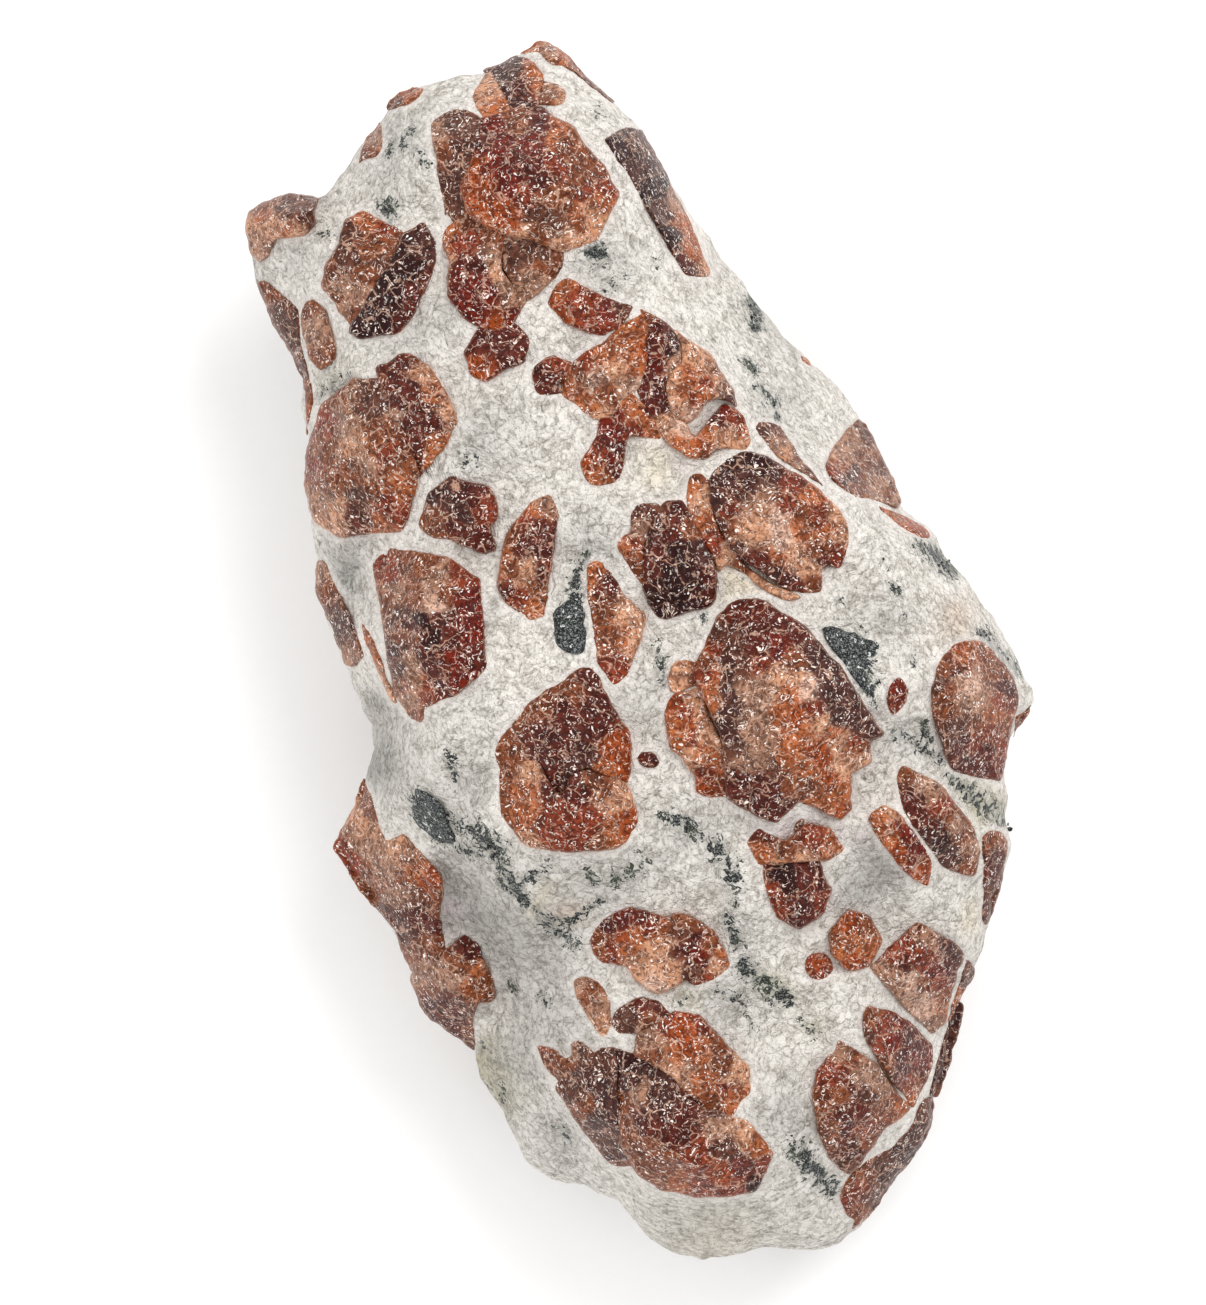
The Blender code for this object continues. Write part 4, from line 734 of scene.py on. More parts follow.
def grid_normals(points, angle, rim):
    """Unit normals of a grid of points, level and outwards along the rim."""
    down = np.gradient(points, axis=0)
    over = np.gradient(points, axis=1)
    normal = np.cross(over, down)
    normal /= np.maximum(np.linalg.norm(normal, axis=-1), 1e-15)[..., None]
    outward = np.stack([np.cos(angle), np.sin(angle), 0 * angle], -1)
    return np.where(rim[..., None], outward, normal)


def grid_triangles(index):
    """Two triangles for each cell of a grid of vertex numbers, without those that have no area."""
    a, b, c, d = index[:-1, :-1], index[:-1, 1:], index[1:, 1:], index[1:, :-1]
    both = np.concatenate([np.stack(half, -1).reshape(-1, 3) for half in ((a, b, c), (a, c, d))])
    return both[(both[:, 0] != both[:, 1]) & (both[:, 1] != both[:, 2]) & (both[:, 0] != both[:, 2])]


def outward(points, faces):
    """The faces, turned round if the closed shape they make holds a negative volume."""
    a, b, c = points[faces[:, 0]], points[faces[:, 1]], points[faces[:, 2]]
    volume = np.sum(a * np.cross(b, c))
    return faces if volume > 0 else faces[:, ::-1]


def make_object(name, points, faces, material, attributes):
    """A smooth mesh object from arrays. attributes maps a name to colours for every vertex."""
    if not len(faces):
        raise RuntimeError(f"{name} came out empty")
    used, faces = np.unique(faces, return_inverse=True)
    faces = faces.reshape(-1, 3)
    points = points[used]
    mesh = bpy.data.meshes.new(name)
    mesh.vertices.add(len(points))
    mesh.vertices.foreach_set("co", points.astype(np.float32).ravel())
    mesh.loops.add(faces.size)
    mesh.loops.foreach_set("vertex_index", faces.astype(np.int32).ravel())
    mesh.polygons.add(len(faces))
    mesh.polygons.foreach_set("loop_start", np.arange(0, faces.size, 3, dtype=np.int32))
    mesh.update(calc_edges=True)
    mesh.validate()
    mesh.polygons.foreach_set("use_smooth", np.ones(len(mesh.polygons), bool))
    for label, values in attributes.items():
        colours = np.ones((len(points), 4), np.float32)
        colours[:, :values.shape[1]] = values[used]
        layer = mesh.color_attributes.new(label, "FLOAT_COLOR", "POINT")
        layer.data.foreach_set("color", colours.ravel())
    mesh.materials.append(material)
    piece = bpy.data.objects.new(name, mesh)
    bpy.context.scene.collection.objects.link(piece)
    return piece


def settle(piece, nodes=()):
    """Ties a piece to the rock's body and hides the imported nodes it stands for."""
    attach(piece, "root")
    if nodes:
        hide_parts(*nodes)


def signed_area(flat):
    """Area of an outline, negative when it turns clockwise."""
    x, y = flat.T
    return 0.5 * np.sum(x * np.roll(y, -1) - np.roll(x, -1) * y)


def anticlockwise(flat):
    """An outline, turned round if it runs clockwise."""
    return flat if signed_area(flat) > 0 else flat[::-1]


def line_length(line):
    """Length of a polyline."""
    return np.linalg.norm(np.diff(line, axis=0), axis=1).sum()


def closed_line(flat):
    """An outline as a polyline that ends where it starts."""
    return np.vstack([flat, flat[:1]])


def grown(flat, distance):
    """An outline that turns anticlockwise, moved outwards along the mitre of each corner."""
    edges = np.roll(flat, -1, axis=0) - flat
    edges /= np.maximum(np.linalg.norm(edges, axis=1), 1e-12)[:, None]
    normals = np.column_stack([edges[:, 1], -edges[:, 0]])
    before = np.roll(normals, 1, axis=0)
    opening = np.maximum(1 + np.sum(normals * before, axis=1), 0.45)
    return flat + (normals + before) / opening[:, None] * distance


def evenly(line, count):
    """A polyline resampled at count + 1 even steps of its length."""
    length = np.append(0, np.cumsum(np.linalg.norm(np.diff(line, axis=0), axis=1)))
    steps = np.linspace(0, length[-1], count + 1)
    return np.column_stack([np.interp(steps, length, line[:, axis]) for axis in range(line.shape[1])])


def ragged(outline, seed):
    """An outline in short steps, its corners softened and its line broken by noise."""
    closed = closed_line(anticlockwise(outline))
    fine = evenly(closed, max(24, int(line_length(closed) / OUTLINE_STEP)))[:-1]
    for _ in range(3):
        fine = 0.5 * fine + 0.25 * (np.roll(fine, 1, axis=0) + np.roll(fine, -1, axis=0))
    wave = OUTLINE_WAVE * rough(fine, 0.0012, seed, 4)
    return fine + (grown(fine, 1) - fine) * wave[:, None]


def outline_distance(places, outline, chunk=20000):
    """Distance of places to an outline, negative inside, by its nearest edge and the crossing rule."""
    start, end = outline, np.roll(outline, -1, axis=0)
    edge = end - start
    length2 = np.maximum(np.sum(edge**2, axis=1), 1e-20)
    result = np.empty(len(places))
    for first in range(0, len(places), chunk):
        part = places[first:first + chunk, None, :]
        arm = part - start
        along = np.clip(np.sum(arm * edge, -1) / length2, 0, 1)
        near = np.min(np.linalg.norm(arm - along[..., None] * edge, axis=-1), axis=1)
        above = (start[:, 1] > part[..., 1]) != (end[:, 1] > part[..., 1])
        slope = edge[:, 0] / np.where(edge[:, 1] == 0, 1e-20, edge[:, 1])
        crossing = part[..., 0] < slope * (part[..., 1] - start[:, 1]) + start[:, 0]
        inside = np.sum(above & crossing, axis=1) % 2 == 1
        result[first:first + chunk] = np.where(inside, -near, near)
    return result


def packed_corners(node):
    """Corners of a packed crystal's triangles, and the cross product of each one's sides."""
    mesh = node.data
    points = np.empty(len(mesh.vertices) * 3)
    mesh.vertices.foreach_get("co", points)
    mesh.calc_loop_triangles()
    faces = np.empty(len(mesh.loop_triangles) * 3, np.int32)
    mesh.loop_triangles.foreach_get("vertices", faces)
    corners = points.reshape(-1, 3)[faces.reshape(-1, 3)]
    return corners, np.cross(corners[:, 1] - corners[:, 0], corners[:, 2] - corners[:, 0])


def foot_outline(node):
    """Outline of a packed crystal of the pictured face: the border of its flat foot, grown by the
    taper and by half of the gap that it keeps."""
    corners, cross = packed_corners(node)
    low = corners[..., 2].max(1) < corners[..., 2].min() + 1e-5
    below = corners[low & (cross[:, 2] < 0)]
    keys = np.round(below[..., :2] / 1e-6).astype(int)
    ahead = {}
    sides = {(tuple(tri[i]), tuple(tri[(i + 1) % 3])) for tri in keys for i in range(3)}
    for one, two in sides:
        if (two, one) not in sides:
            ahead[one] = two
    first = min(ahead)
    ring, step = [first], ahead[first]
    while step != first:
        ring.append(step)
        step = ahead[step]
    flat = anticlockwise(np.array(ring) * 1e-6)
    middle = middle_of(flat)
    return grown(middle + (flat - middle) / FOOT_TAPER, CRYSTAL_GAP / 2)


def middle_of(flat):
    """Centroid of an outline's area."""
    x, y = flat.T
    ahead_x, ahead_y = np.roll(x, -1), np.roll(y, -1)
    cross = x * ahead_y - ahead_x * y
    return np.array([np.sum((x + ahead_x) * cross), np.sum((y + ahead_y) * cross)]) / (3 * np.sum(cross))


def head_planes(node):
    """The planes of a packed crystal's head, as a, b, c of z = a x + b y + c."""
    corners, cross = packed_corners(node)
    area = np.linalg.norm(cross, axis=1)
    normal = cross / np.maximum(area, 1e-20)[:, None]
    keep = (normal[:, 2] > 0.25) & (area > 1e-8)
    normal, origin = normal[keep], corners[keep, 0]
    planes = np.column_stack([
        -normal[:, 0] / normal[:, 2],
        -normal[:, 1] / normal[:, 2],
        np.sum(normal * origin, axis=1) / normal[:, 2],
    ])
    _, first = np.unique(np.round(planes * (200, 200, 1e5)).astype(int), axis=0, return_index=True)
    return planes[first]


def rail_grid(outline, cell):
    """A grid inside an outline: its two sides between the farthest corners are rails, each row goes
    straight from rail to rail, and the inner points are then evened out as the mean of their
    neighbours. The first and last rows are single points."""
    gap = np.linalg.norm(outline[:, None] - outline[None], axis=2)
    first, last = sorted(np.unravel_index(np.argmax(gap), gap.shape))
    one = outline[first:last + 1]
    other = np.vstack([outline[last:], outline[:first + 1]])[::-1]
    rows = max(8, int(max(line_length(one), line_length(other)) / cell))
    left, right = evenly(one, rows), evenly(other, rows)
    columns = max(4, int(np.linalg.norm(left - right, axis=1).max() / cell))
    share = np.linspace(0, 1, columns + 1)[None, :, None]
    grid = left[:, None] * (1 - share) + right[:, None] * share
    for _ in range(40):
        mean = grid[:-2, 1:-1] + grid[2:, 1:-1] + grid[1:-1, :-2] + grid[1:-1, 2:]
        grid[1:-1, 1:-1] = mean / 4
    return grid


class Crystal:
    """A closed crystal over an outline of a local x and y: a grid for its head, a wall that narrows
    downwards, and a foot."""

    def __init__(self, outline, seed, cell):
        self.outline = ragged(outline, seed)
        self.grid = rail_grid(self.outline, cell)
        self.flat = self.grid.reshape(-1, 2)
        self.depth_in = np.maximum(-outline_distance(self.flat, self.outline), 0)
        rows, columns = self.grid.shape[0] - 1, self.grid.shape[1] - 1
        index = np.arange((rows + 1) * (columns + 1)).reshape(rows + 1, columns + 1)
        index[0] = index[0, 0]
        index[rows] = index[rows, 0]
        ring = np.concatenate([index[:, 0], index[rows - 1:0:-1, columns]])
        self.depth_in[ring] = 0
        self.ring, self.rows, self.index = ring, rows, index

    def edge(self, radius):
        """Rounded edge: sqrt(1 - (1 - depth / radius)**2), from 0 at the outline to 1 further in."""
        near = 1 - np.clip(self.depth_in / radius, 0, 1)
        return np.sqrt(1 - near**2)

    def solid(self, heights, drops):
        """Local points and faces: the head at heights, then one ring for each drop below its edge."""
        points = [np.column_stack([self.flat, heights])]
        faces = [grid_triangles(self.index)]
        middle = middle_of(self.outline)
        border = points[0][self.ring]
        count, above, total = len(border), self.ring, len(self.flat)
        for drop, taper in zip(drops, SEAT_TAPERS):
            flat = middle + (border[:, :2] - middle) * taper
            points.append(np.column_stack([flat, border[:, 2] - drop]))
            below = total + np.arange(count)
            wall = [np.append(ring, ring[0]) for ring in (above, below)]
            faces.append(grid_triangles(np.stack(wall)))
            above, total = below, total + count
        left = above[:self.rows + 1]
        right = above[-np.arange(self.rows + 1) % count]
        faces.append(grid_triangles(np.stack([left, right])))
        return np.concatenate(points), np.concatenate(faces)

    def spread(self, values):
        """Values of the head's points, with the edge's repeated down the wall."""
        return np.concatenate([values] + [values[self.ring]] * len(SEAT_TAPERS))


def crystal_planes(outline, rise, chance):
    """Planes that touch the dome rise (1 - (distance / reach)**2) at its middle and around it."""
    middle = middle_of(outline)
    reach = 0.62 * math.sqrt(abs(signed_area(outline)))
    count = 5 if reach < 0.003 else 7
    start = chance.uniform(0, TURN)
    angles = start + (np.arange(count) + chance.uniform(-0.3, 0.3, count)) * TURN / count
    arms = reach * chance.uniform(0.45, 0.95, count)
    seeds = np.vstack([[0.0, 0.0], np.column_stack([np.cos(angles), np.sin(angles)]) * arms[:, None]])
    level = rise * (1 - np.sum(seeds**2, axis=1) / reach**2)
    slope = -2 * rise * seeds / reach**2 + chance.normal(0, 0.03, seeds.shape)
    places = middle + seeds
    return np.column_stack([slope, level - np.sum(slope * places, axis=1)])


def lowest(planes, flat, blend=0.00006):
    """Soft lowest of planes over flat points: -blend log(sum(exp(-level / blend)))."""
    levels = flat @ planes[:, :2].T + planes[:, 2]
    least = levels.min(axis=1)
    return least - blend * np.log(np.sum(np.exp(-(levels - least[:, None]) / blend), axis=1))


def conchoidal(flat, seed):
    """Relief of broken garnet: shell-like waves, ridges 1 - |noise| and fine roughness."""
    waves = noise(flat, 0.0030, seed)
    shells = np.sin(waves * 9 + noise(flat, 0.0012, seed + 1) * 1.5) * 0.00003
    ridges = (1 - np.abs(noise(flat, 0.0018, seed + 2))) ** 3 * 0.00010
    chips = broken(flat[:, 0], flat[:, 1], seed + 3, 0.0011, 0.10)
    return shells + ridges + chips + 0.00004 * rough(flat, 0.0007, seed + 4, 2)


def patch_colours(flat, places, colours, seed):
    """Colour of the nearest patch, by weights exp(-distance / blur), on a noise-warped plane, and how
    near the border of two patches is: 1 - (second nearest - nearest) / reach, at least 0."""
    shift = np.column_stack([rough(flat, 0.0016, seed + 11), rough(flat, 0.0016, seed + 12)])
    warped = flat + PATCH_WARP * shift
    gap = np.linalg.norm(warped[:, None] - places[None], axis=2)
    weight = np.exp(-(gap - gap.min(axis=1, keepdims=True)) / PATCH_BLUR)
    nearest = np.sort(gap, axis=1)
    border = np.zeros(len(flat))
    if len(places) > 1:
        border = np.clip(1 - (nearest[:, 1] - nearest[:, 0]) / SEAM_REACH, 0, 1)
    return (weight @ colours) / weight.sum(axis=1, keepdims=True), border


def garnet_attributes(crystal, patches, seed, number):
    """Tone of every point, and its closeness to the crystal's edge, an own number and its closeness
    to the border of two patches."""
    colours, border = patch_colours(crystal.flat, *patches, seed)
    near = 1 - np.clip(crystal.depth_in / EDGE_BAND, 0, 1)
    own = np.full(len(near), (number * GOLDEN_SHARE) % 1)
    marks = np.column_stack([near, own, border])
    return {"tone": crystal.spread(colours), "marks": crystal.spread(marks)}


def skin_and_slant(x, y):
    """Height of the pictured face and 1 / the upward part of its unit normal, up to a limit."""
    ground = TOP.level(x, y)
    small = 0.0003
    over = (TOP.level(x + small, y) - TOP.level(x - small, y)) / (2 * small)
    up = (TOP.level(x, y + small) - TOP.level(x, y - small)) / (2 * small)
    return ground, np.minimum(np.sqrt(1 + over**2 + up**2), MOST_SLANT)


def soft_most(one, other, blend=0.0001):
    """The higher of two heights, rounded where they cross: other + blend log(1 + exp(gap / blend))."""
    return other + np.logaddexp(0, (one - other) / blend) * blend


def pictured_crystal(outline, seed, planes=None, rise=0):
    """A crystal of the pictured face: its head is the lowest of its planes, but no higher than the
    skin plus a height that grows with its size and no lower than the skin plus a lip, and its
    rounded edge falls to just under the skin. Without planes they come from a dome of a rise."""
    crystal = Crystal(outline, seed, GARNET_CELL)
    ground, slant = skin_and_slant(*crystal.flat.T)
    if planes is None:
        planes = crystal_planes(crystal.outline, rise, np.random.default_rng(seed))
        head = lowest(planes, crystal.flat) + ground
    else:
        head = lowest(planes, crystal.flat)
    tallest = HEAD_LEAST + HEAD_GROWTH * math.sqrt(abs(signed_area(crystal.outline)))
    head = -soft_most(-head, -(ground + tallest * np.minimum(slant, HEAD_SLANT)), 0.0002)
    head = soft_most(head, ground + CRYSTAL_LIP * slant)
    head = head + conchoidal(crystal.flat, seed)
    low = ground - FOOT_DEPTH * slant
    points, faces = crystal.solid(low + (head - low) * crystal.edge(EDGE_RADIUS), SEAT_DROPS)
    return crystal, points, outward(points, faces)


def pictured_garnet(outline, patches, seed, number, planes=None, rise=0):
    """Points, faces and attributes of a garnet of the pictured face."""
    crystal, points, faces = pictured_crystal(outline, seed, planes, rise)
    return points, faces, garnet_attributes(crystal, patches, seed, number)


def belly_place(angle, step):
    """Points of the face below at a direction and an even step from its middle (0) to the rim (1)."""
    radius = np.interp(step, *BELLY_SHARES) * outline_radius(np.arctan2(np.sin(angle), np.cos(angle)))
    x, y = radius * np.cos(angle), radius * np.sin(angle)
    height = np.where(step >= 1, rim_height(np.arctan2(y, x)), belly_level(x, y))
    return np.stack([x, y, height], -1)


def wrapped(points, angle, step):
    """Local points carried onto the face below: x runs around the rock, y up its side and z along
    the skin's outward normal."""
    nudge = 0.02
    beside = belly_place(angle + nudge, step) - belly_place(angle - nudge, step)
    around = np.linalg.norm(beside) / (2 * nudge)
    upper = min(step + nudge, 1.0)
    along = belly_place(angle, upper) - belly_place(angle, step - nudge)
    upwards = np.linalg.norm(along) / (upper - step + nudge)

    def skin(x, y):
        return belly_place(angle + x / around, np.minimum(step + y / upwards, 1.0))

    x, y, z = points.T
    small = 0.0006
    over = skin(x + small, y) - skin(x - small, y)
    up = skin(x, y + small) - skin(x, y - small)
    normal = np.cross(over, up)
    normal /= np.maximum(np.linalg.norm(normal, axis=1), 1e-12)[:, None]
    return skin(x, y) + normal * z[:, None]


def side_outline(width, height, turn, chance):
    """An uneven oval of straight sides about the local origin."""
    count = int(chance.integers(6, 10))
    angles = (np.arange(count) + chance.uniform(-0.25, 0.25, count)) * TURN / count
    oval = np.column_stack([np.cos(angles) * width, np.sin(angles) * height]) * MM / 2
    oval = oval * (1 + chance.uniform(-0.16, 0.14, count))[:, None]
    lean = math.radians(turn)
    spin = np.array([[math.cos(lean), -math.sin(lean)], [math.sin(lean), math.cos(lean)]])
    return oval @ spin.T


def side_garnet(outline, rise, patches, angle, step, seed, number):
    """A garnet wrapped onto the face below, never reaching under the floor."""
    crystal = Crystal(outline, seed, SIDE_CELL)
    head = lowest(crystal_planes(crystal.outline, rise, np.random.default_rng(seed)), crystal.flat)
    head = np.maximum(head, 0) + SIDE_LIP + conchoidal(crystal.flat, seed)
    heights = SIDE_FOOT + (head - SIDE_FOOT) * crystal.edge(EDGE_RADIUS)
    points, faces = crystal.solid(heights, SIDE_SEAT_DROPS)
    points = wrapped(points, angle, step)
    points[:, 2] = np.maximum(points[:, 2], 0)
    return points, outward(points, faces), garnet_attributes(crystal, patches, seed, number)


def step_near_rim(place):
    """Even step along the face below where its radius is the rim's times 1 + place."""
    return float(np.interp(1 + place, BELLY_SHARES[1], BELLY_SHARES[0]))


def random_patches(outline, chance, tones):
    """Patches of chosen tones scattered over an outline."""
    low, high = outline.min(axis=0), outline.max(axis=0)
    count = int(chance.integers(4, 8))
    places = low + chance.uniform(0.05, 0.95, (count, 2)) * (high - low)
    picks = chance.integers(0, len(tones), count)
    return places, np.array([linear(TONES[tones[int(pick)]]) for pick in picks])


def joined(shapes):
    """Several (points, faces, attributes) as one."""
    points, faces, attributes = zip(*shapes)
    starts = np.cumsum([0] + [len(place) for place in points[:-1]])
    faces = np.concatenate([face + start for face, start in zip(faces, starts)])
    marks = {label: np.concatenate([each[label] for each in attributes]) for label in attributes[0]}
    return np.concatenate(points), faces, marks


def smoothstep(low, high, value):
    """0 up to low, 1 from high, and 3 t^2 - 2 t^3 between them."""
    share = np.clip((value - low) / (high - low), 0, 1)
    return share * share * (3 - 2 * share)


def nearest_crystal(flat, outlines):
    """Distance to the nearest outline, negative inside one, and 5 mm where none is near."""
    result = np.full(len(flat), 0.005)
    for outline in outlines:
        low, high = outline.min(axis=0) - 0.002, outline.max(axis=0) + 0.002
        near = np.flatnonzero(np.all((flat > low) & (flat < high), axis=1))
        if len(near):
            result[near] = np.minimum(result[near], outline_distance(flat[near], outline))
    return result


def streak_strength(flat, streaks):
    """Strongest streak at each place: strength * (1 - distance / (2.2 half width)), at least 0."""
    result = np.zeros(len(flat))
    for x0, y0, x1, y1, half, strength in streaks:
        start, end = to_metres([(x0, y0), (x1, y1)])
        arm = end - start
        along = np.clip((flat - start) @ arm / max(float(arm @ arm), 1e-12), 0, 1)
        gap = np.linalg.norm(flat - start - along[:, None] * arm, axis=1) / (half * PX)
        result = np.maximum(result, strength * np.clip(1 - gap / 2.2, 0, 1))
    return result


def tinted_ground(flat, seed):
    """Colour of the matrix: white, mixed with each tint by strength * exp(-(distance / radius)**2)
    on a noise-warped plane, and the strongest grey weight. The grey tints are partly grey patches and
    partly painted shade on flanks and in grooves."""
    shift = np.column_stack([rough(flat, 0.004, seed), rough(flat, 0.004, seed + 1)]) * 0.0012
    colour = np.tile(np.array(look().matrix_white), (len(flat), 1))
    grey = np.zeros(len(flat))
    for x, y, radius, tint, strength in GROUND_TINTS:
        gap = np.linalg.norm(flat + shift - to_metres([(x, y)])[0], axis=1) / (float(radius) * PX)
        weight = float(strength) * np.exp(-gap**2)
        colour = colour * (1 - weight[:, None]) + linear(TINTS[tint]) * weight[:, None]
        # the grey weight, partly painted shade, is kept to thicken the grey threads
        if tint == "grey":
            grey = np.maximum(grey, weight)
    return colour, grey


class Signal:
    """A shader socket that values are worked out with, each operator adding its Math node."""

    def __init__(self, recipe, socket):
        self.recipe, self.socket = recipe, socket

    def __add__(self, other):
        return self.recipe.math("ADD", self, other)

    __radd__ = __add__

    def __sub__(self, other):
        return self.recipe.math("SUBTRACT", self, other)

    def __rsub__(self, other):
        return self.recipe.math("SUBTRACT", other, self)

    def __mul__(self, other):
        return self.recipe.math("MULTIPLY", self, other)

    __rmul__ = __mul__

    def __abs__(self):
        return self.recipe.math("ABSOLUTE", self, 0.0)

    def least(self, other):
        return self.recipe.math("MINIMUM", self, other)

    def most(self, other):
        return self.recipe.math("MAXIMUM", self, other)

    def between(self, low, high):
        """0 up to low, 1 from high, smooth between them."""
        return self.recipe.node(
            "ShaderNodeMapRange", {"interpolation_type": "SMOOTHSTEP", "clamp": True},
            {"Value": self, "From Min": low, "From Max": high, "To Min": 0.0, "To Max": 1.0}, "Result",
        )


class Recipe:
    """A material's nodes, ending in one Principled shader."""

    def __init__(self, name):
        self.material = bpy.data.materials.new(stone_name(name))
        self.material.use_nodes = True
        self.tree = self.material.node_tree
        self.shader = self.tree.nodes["Principled BSDF"]
        place = self.node("ShaderNodeTexCoord", {}, {}, "Object")
        self.place = self.vector("SCALE", place, scale=1 / MM)

    def link(self, value, socket):
        if isinstance(value, Signal):
            self.tree.links.new(value.socket, socket)
        else:
            socket.default_value = value

    def node(self, kind, settings, sockets, output):
        """One node: its settings first, then the values or links of its sockets by name or number.
        With several outputs asked for, a list of them."""
        node = self.tree.nodes.new(kind)
        for label, value in settings.items():
            setattr(node, label, value)
        for label, value in sockets.items():
            self.link(value, node.inputs[label])
        if isinstance(output, tuple):
            return [Signal(self, node.outputs[label]) for label in output]
        return Signal(self, node.outputs[output])

    def math(self, operation, one, other):
        return self.node("ShaderNodeMath", {"operation": operation}, {0: one, 1: other}, "Value")

    def vector(self, operation, one, other=None, scale=None):
        sockets = {0: one}
        if other is not None:
            sockets[1] = other
        if scale is not None:
            sockets["Scale"] = scale
        return self.node("ShaderNodeVectorMath", {"operation": operation}, sockets, "Vector")

    def mix(self, factor, one, other, blend="MIX"):
        """Colours mixed by a factor."""
        return self.node(
            "ShaderNodeMix", {"data_type": "RGBA", "blend_type": blend, "clamp_factor": True},
            {0: factor, 6: one, 7: other}, 2,
        )

    def noise(self, size, where=None, detail=2.0, roughness=0.5, output="Fac"):
        """Noise whose lumps measure size millimetres."""
        return self.node(
            "ShaderNodeTexNoise", {},
            {"Vector": where or self.place, "Scale": 1 / size, "Detail": detail, "Roughness": roughness},
            output,
        )

    def cells(self, size, where, feature="F1", output="Distance"):
        """Voronoi cells that measure size millimetres."""
        return self.node(
            "ShaderNodeTexVoronoi", {"feature": feature}, {"Vector": where, "Scale": 1 / size}, output,
        )

    def warped(self, where, size, strength):
        """Places moved by noise of a size, up to about half of strength millimetres."""
        push = self.vector("SUBTRACT", self.noise(size, where, 1.0, output="Color"), (0.5, 0.5, 0.5))
        return self.vector("ADD", where, self.vector("SCALE", push, scale=strength))

    def spun(self, where, angle):
        """Places turned about the upright axis."""
        return self.node(
            "ShaderNodeVectorRotate", {"rotation_type": "Z_AXIS"}, {"Vector": where, "Angle": angle},
            "Vector",
        )

    def attribute(self, name):
        """A colour that the mesh carries."""
        return self.node("ShaderNodeAttribute", {"attribute_name": name}, {}, "Color")

    def parts(self, colour):
        """Red, green and blue of a colour."""
        return self.node("ShaderNodeSeparateColor", {}, {"Color": colour}, ("Red", "Green", "Blue"))

    def bump(self, height, distance, strength):
        """Normals for a height from 0 to 1 over a distance in metres."""
        sockets = {"Height": height, "Distance": distance, "Strength": strength}
        return self.node("ShaderNodeBump", {}, sockets, "Normal")

    def finish(self, colour, roughness, normal, **constants):
        """The material, with its shader's inputs set."""
        self.link(colour, self.shader.inputs["Base Color"])
        self.link(roughness, self.shader.inputs["Roughness"])
        self.link(normal, self.shader.inputs["Normal"])
        for label, value in constants.items():
            self.shader.inputs[label.replace("_", " ")].default_value = value
        return self.material


def rgba(shade):
    """A named shade as a linear colour with full alpha."""
    return (*(float(c) for c in linear(SHADES[shade])), 1.0)


def stone_name(name):
    """Name of a material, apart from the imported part's own."""
    return name + " stone"


def matrix_material():
    """Fibrous white wollastonite: packed grains of slightly different white, fibres that run a
    different way in each patch, grey gaps, and dark diopside where the mesh says."""
    recipe = Recipe("wollastonite")
    ground = recipe.attribute("ground")
    diopside, halo, grey = recipe.parts(recipe.attribute("marks"))
    look_now = look()

    loose = recipe.warped(recipe.place, 1.2, 1.0)
    turn = recipe.parts(recipe.cells(2.2, loose, output="Color"))[0]
    spun = recipe.spun(loose, turn * TURN)
    fibres = recipe.noise(0.27, recipe.vector("MULTIPLY", spun, (1.0, 0.24, 0.6)), 1.0, 0.6)
    grain_size = look_now.grain_size / MM
    grain_colour, grain_middle = recipe.cells(grain_size, loose, output=("Color", "Distance"))
    grain, gap_chance, lift = recipe.parts(grain_colour)
    fine, wide, blotch = recipe.parts(recipe.noise(0.17, None, 1.0, 0.7, output="Color"))
    broad, patchy, stained = recipe.parts(recipe.noise(2.6, None, 2.0, 0.6, output="Color"))

    edge = grain_middle.between(0.42, 0.72)
    shade = (fibres - 0.5) * 0.62 + (grain - 0.5) * 0.24 + (fine - 0.5) * 0.62
    shade = shade + (broad - 0.5) * 0.42 - edge * 0.10
    colour = recipe.mix(shade.between(-0.46, 0.24), rgba("dull fibre"), rgba("bright fibre"))
    colour = recipe.mix(1.0, colour, ground, "MULTIPLY")

    gaps = edge * gap_chance.between(0.60, 0.80) * patchy.between(0.42, 0.62)
    # grey, from the grey tints, is partly painted shade and thickens the grey threads
    threads = (1 - fibres.between(0.24, 0.32)) * (0.20 + patchy.between(0.42, 0.62) * 0.45 + grey * 0.6)
    grey_mask = (gaps * 0.45 + threads).least(1.0)
    colour = recipe.mix(grey_mask * look_now.grey_strength, colour, rgba("gap"))

    tiny = (1 - wide.between(0.22, 0.31)) * stained.between(0.52, 0.60) * 0.85
    speck = diopside.least(0.85) * 0.85 + (wide - 0.5) * 0.9
    speck = speck + (fibres - 0.5) * 1.5 + (lift - 0.5) * 0.7
    stain = speck.between(0.46, 0.58) * diopside.between(0.02, 0.12)
    smear = diopside.between(0.05, 0.75) * 0.36
    colour = recipe.mix(smear, colour, rgba("smear"))
    green = recipe.mix(stained.between(0.48, 0.60), rgba("black speck"), rgba("green speck"))
    speckled = recipe.mix(blotch.between(0.52, 0.62) * 0.7, green, rgba("pale speck"))
    dark = stain.most(tiny)
    colour = recipe.mix(dark, colour, speckled)

    clean = halo.between(0.10, 0.9) * 0.5
    colour = recipe.mix(clean, colour, recipe.mix(fine, rgba("dull halo"), rgba("bright halo")))

    height = fibres * 0.8 + fine * 0.8 + lift * 0.4 - edge * 0.45
    normal = recipe.bump(height, 0.00017, 0.95)
    return recipe.finish(colour, 0.66 - dark * 0.2, normal, Specular_IOR_Level=0.32)


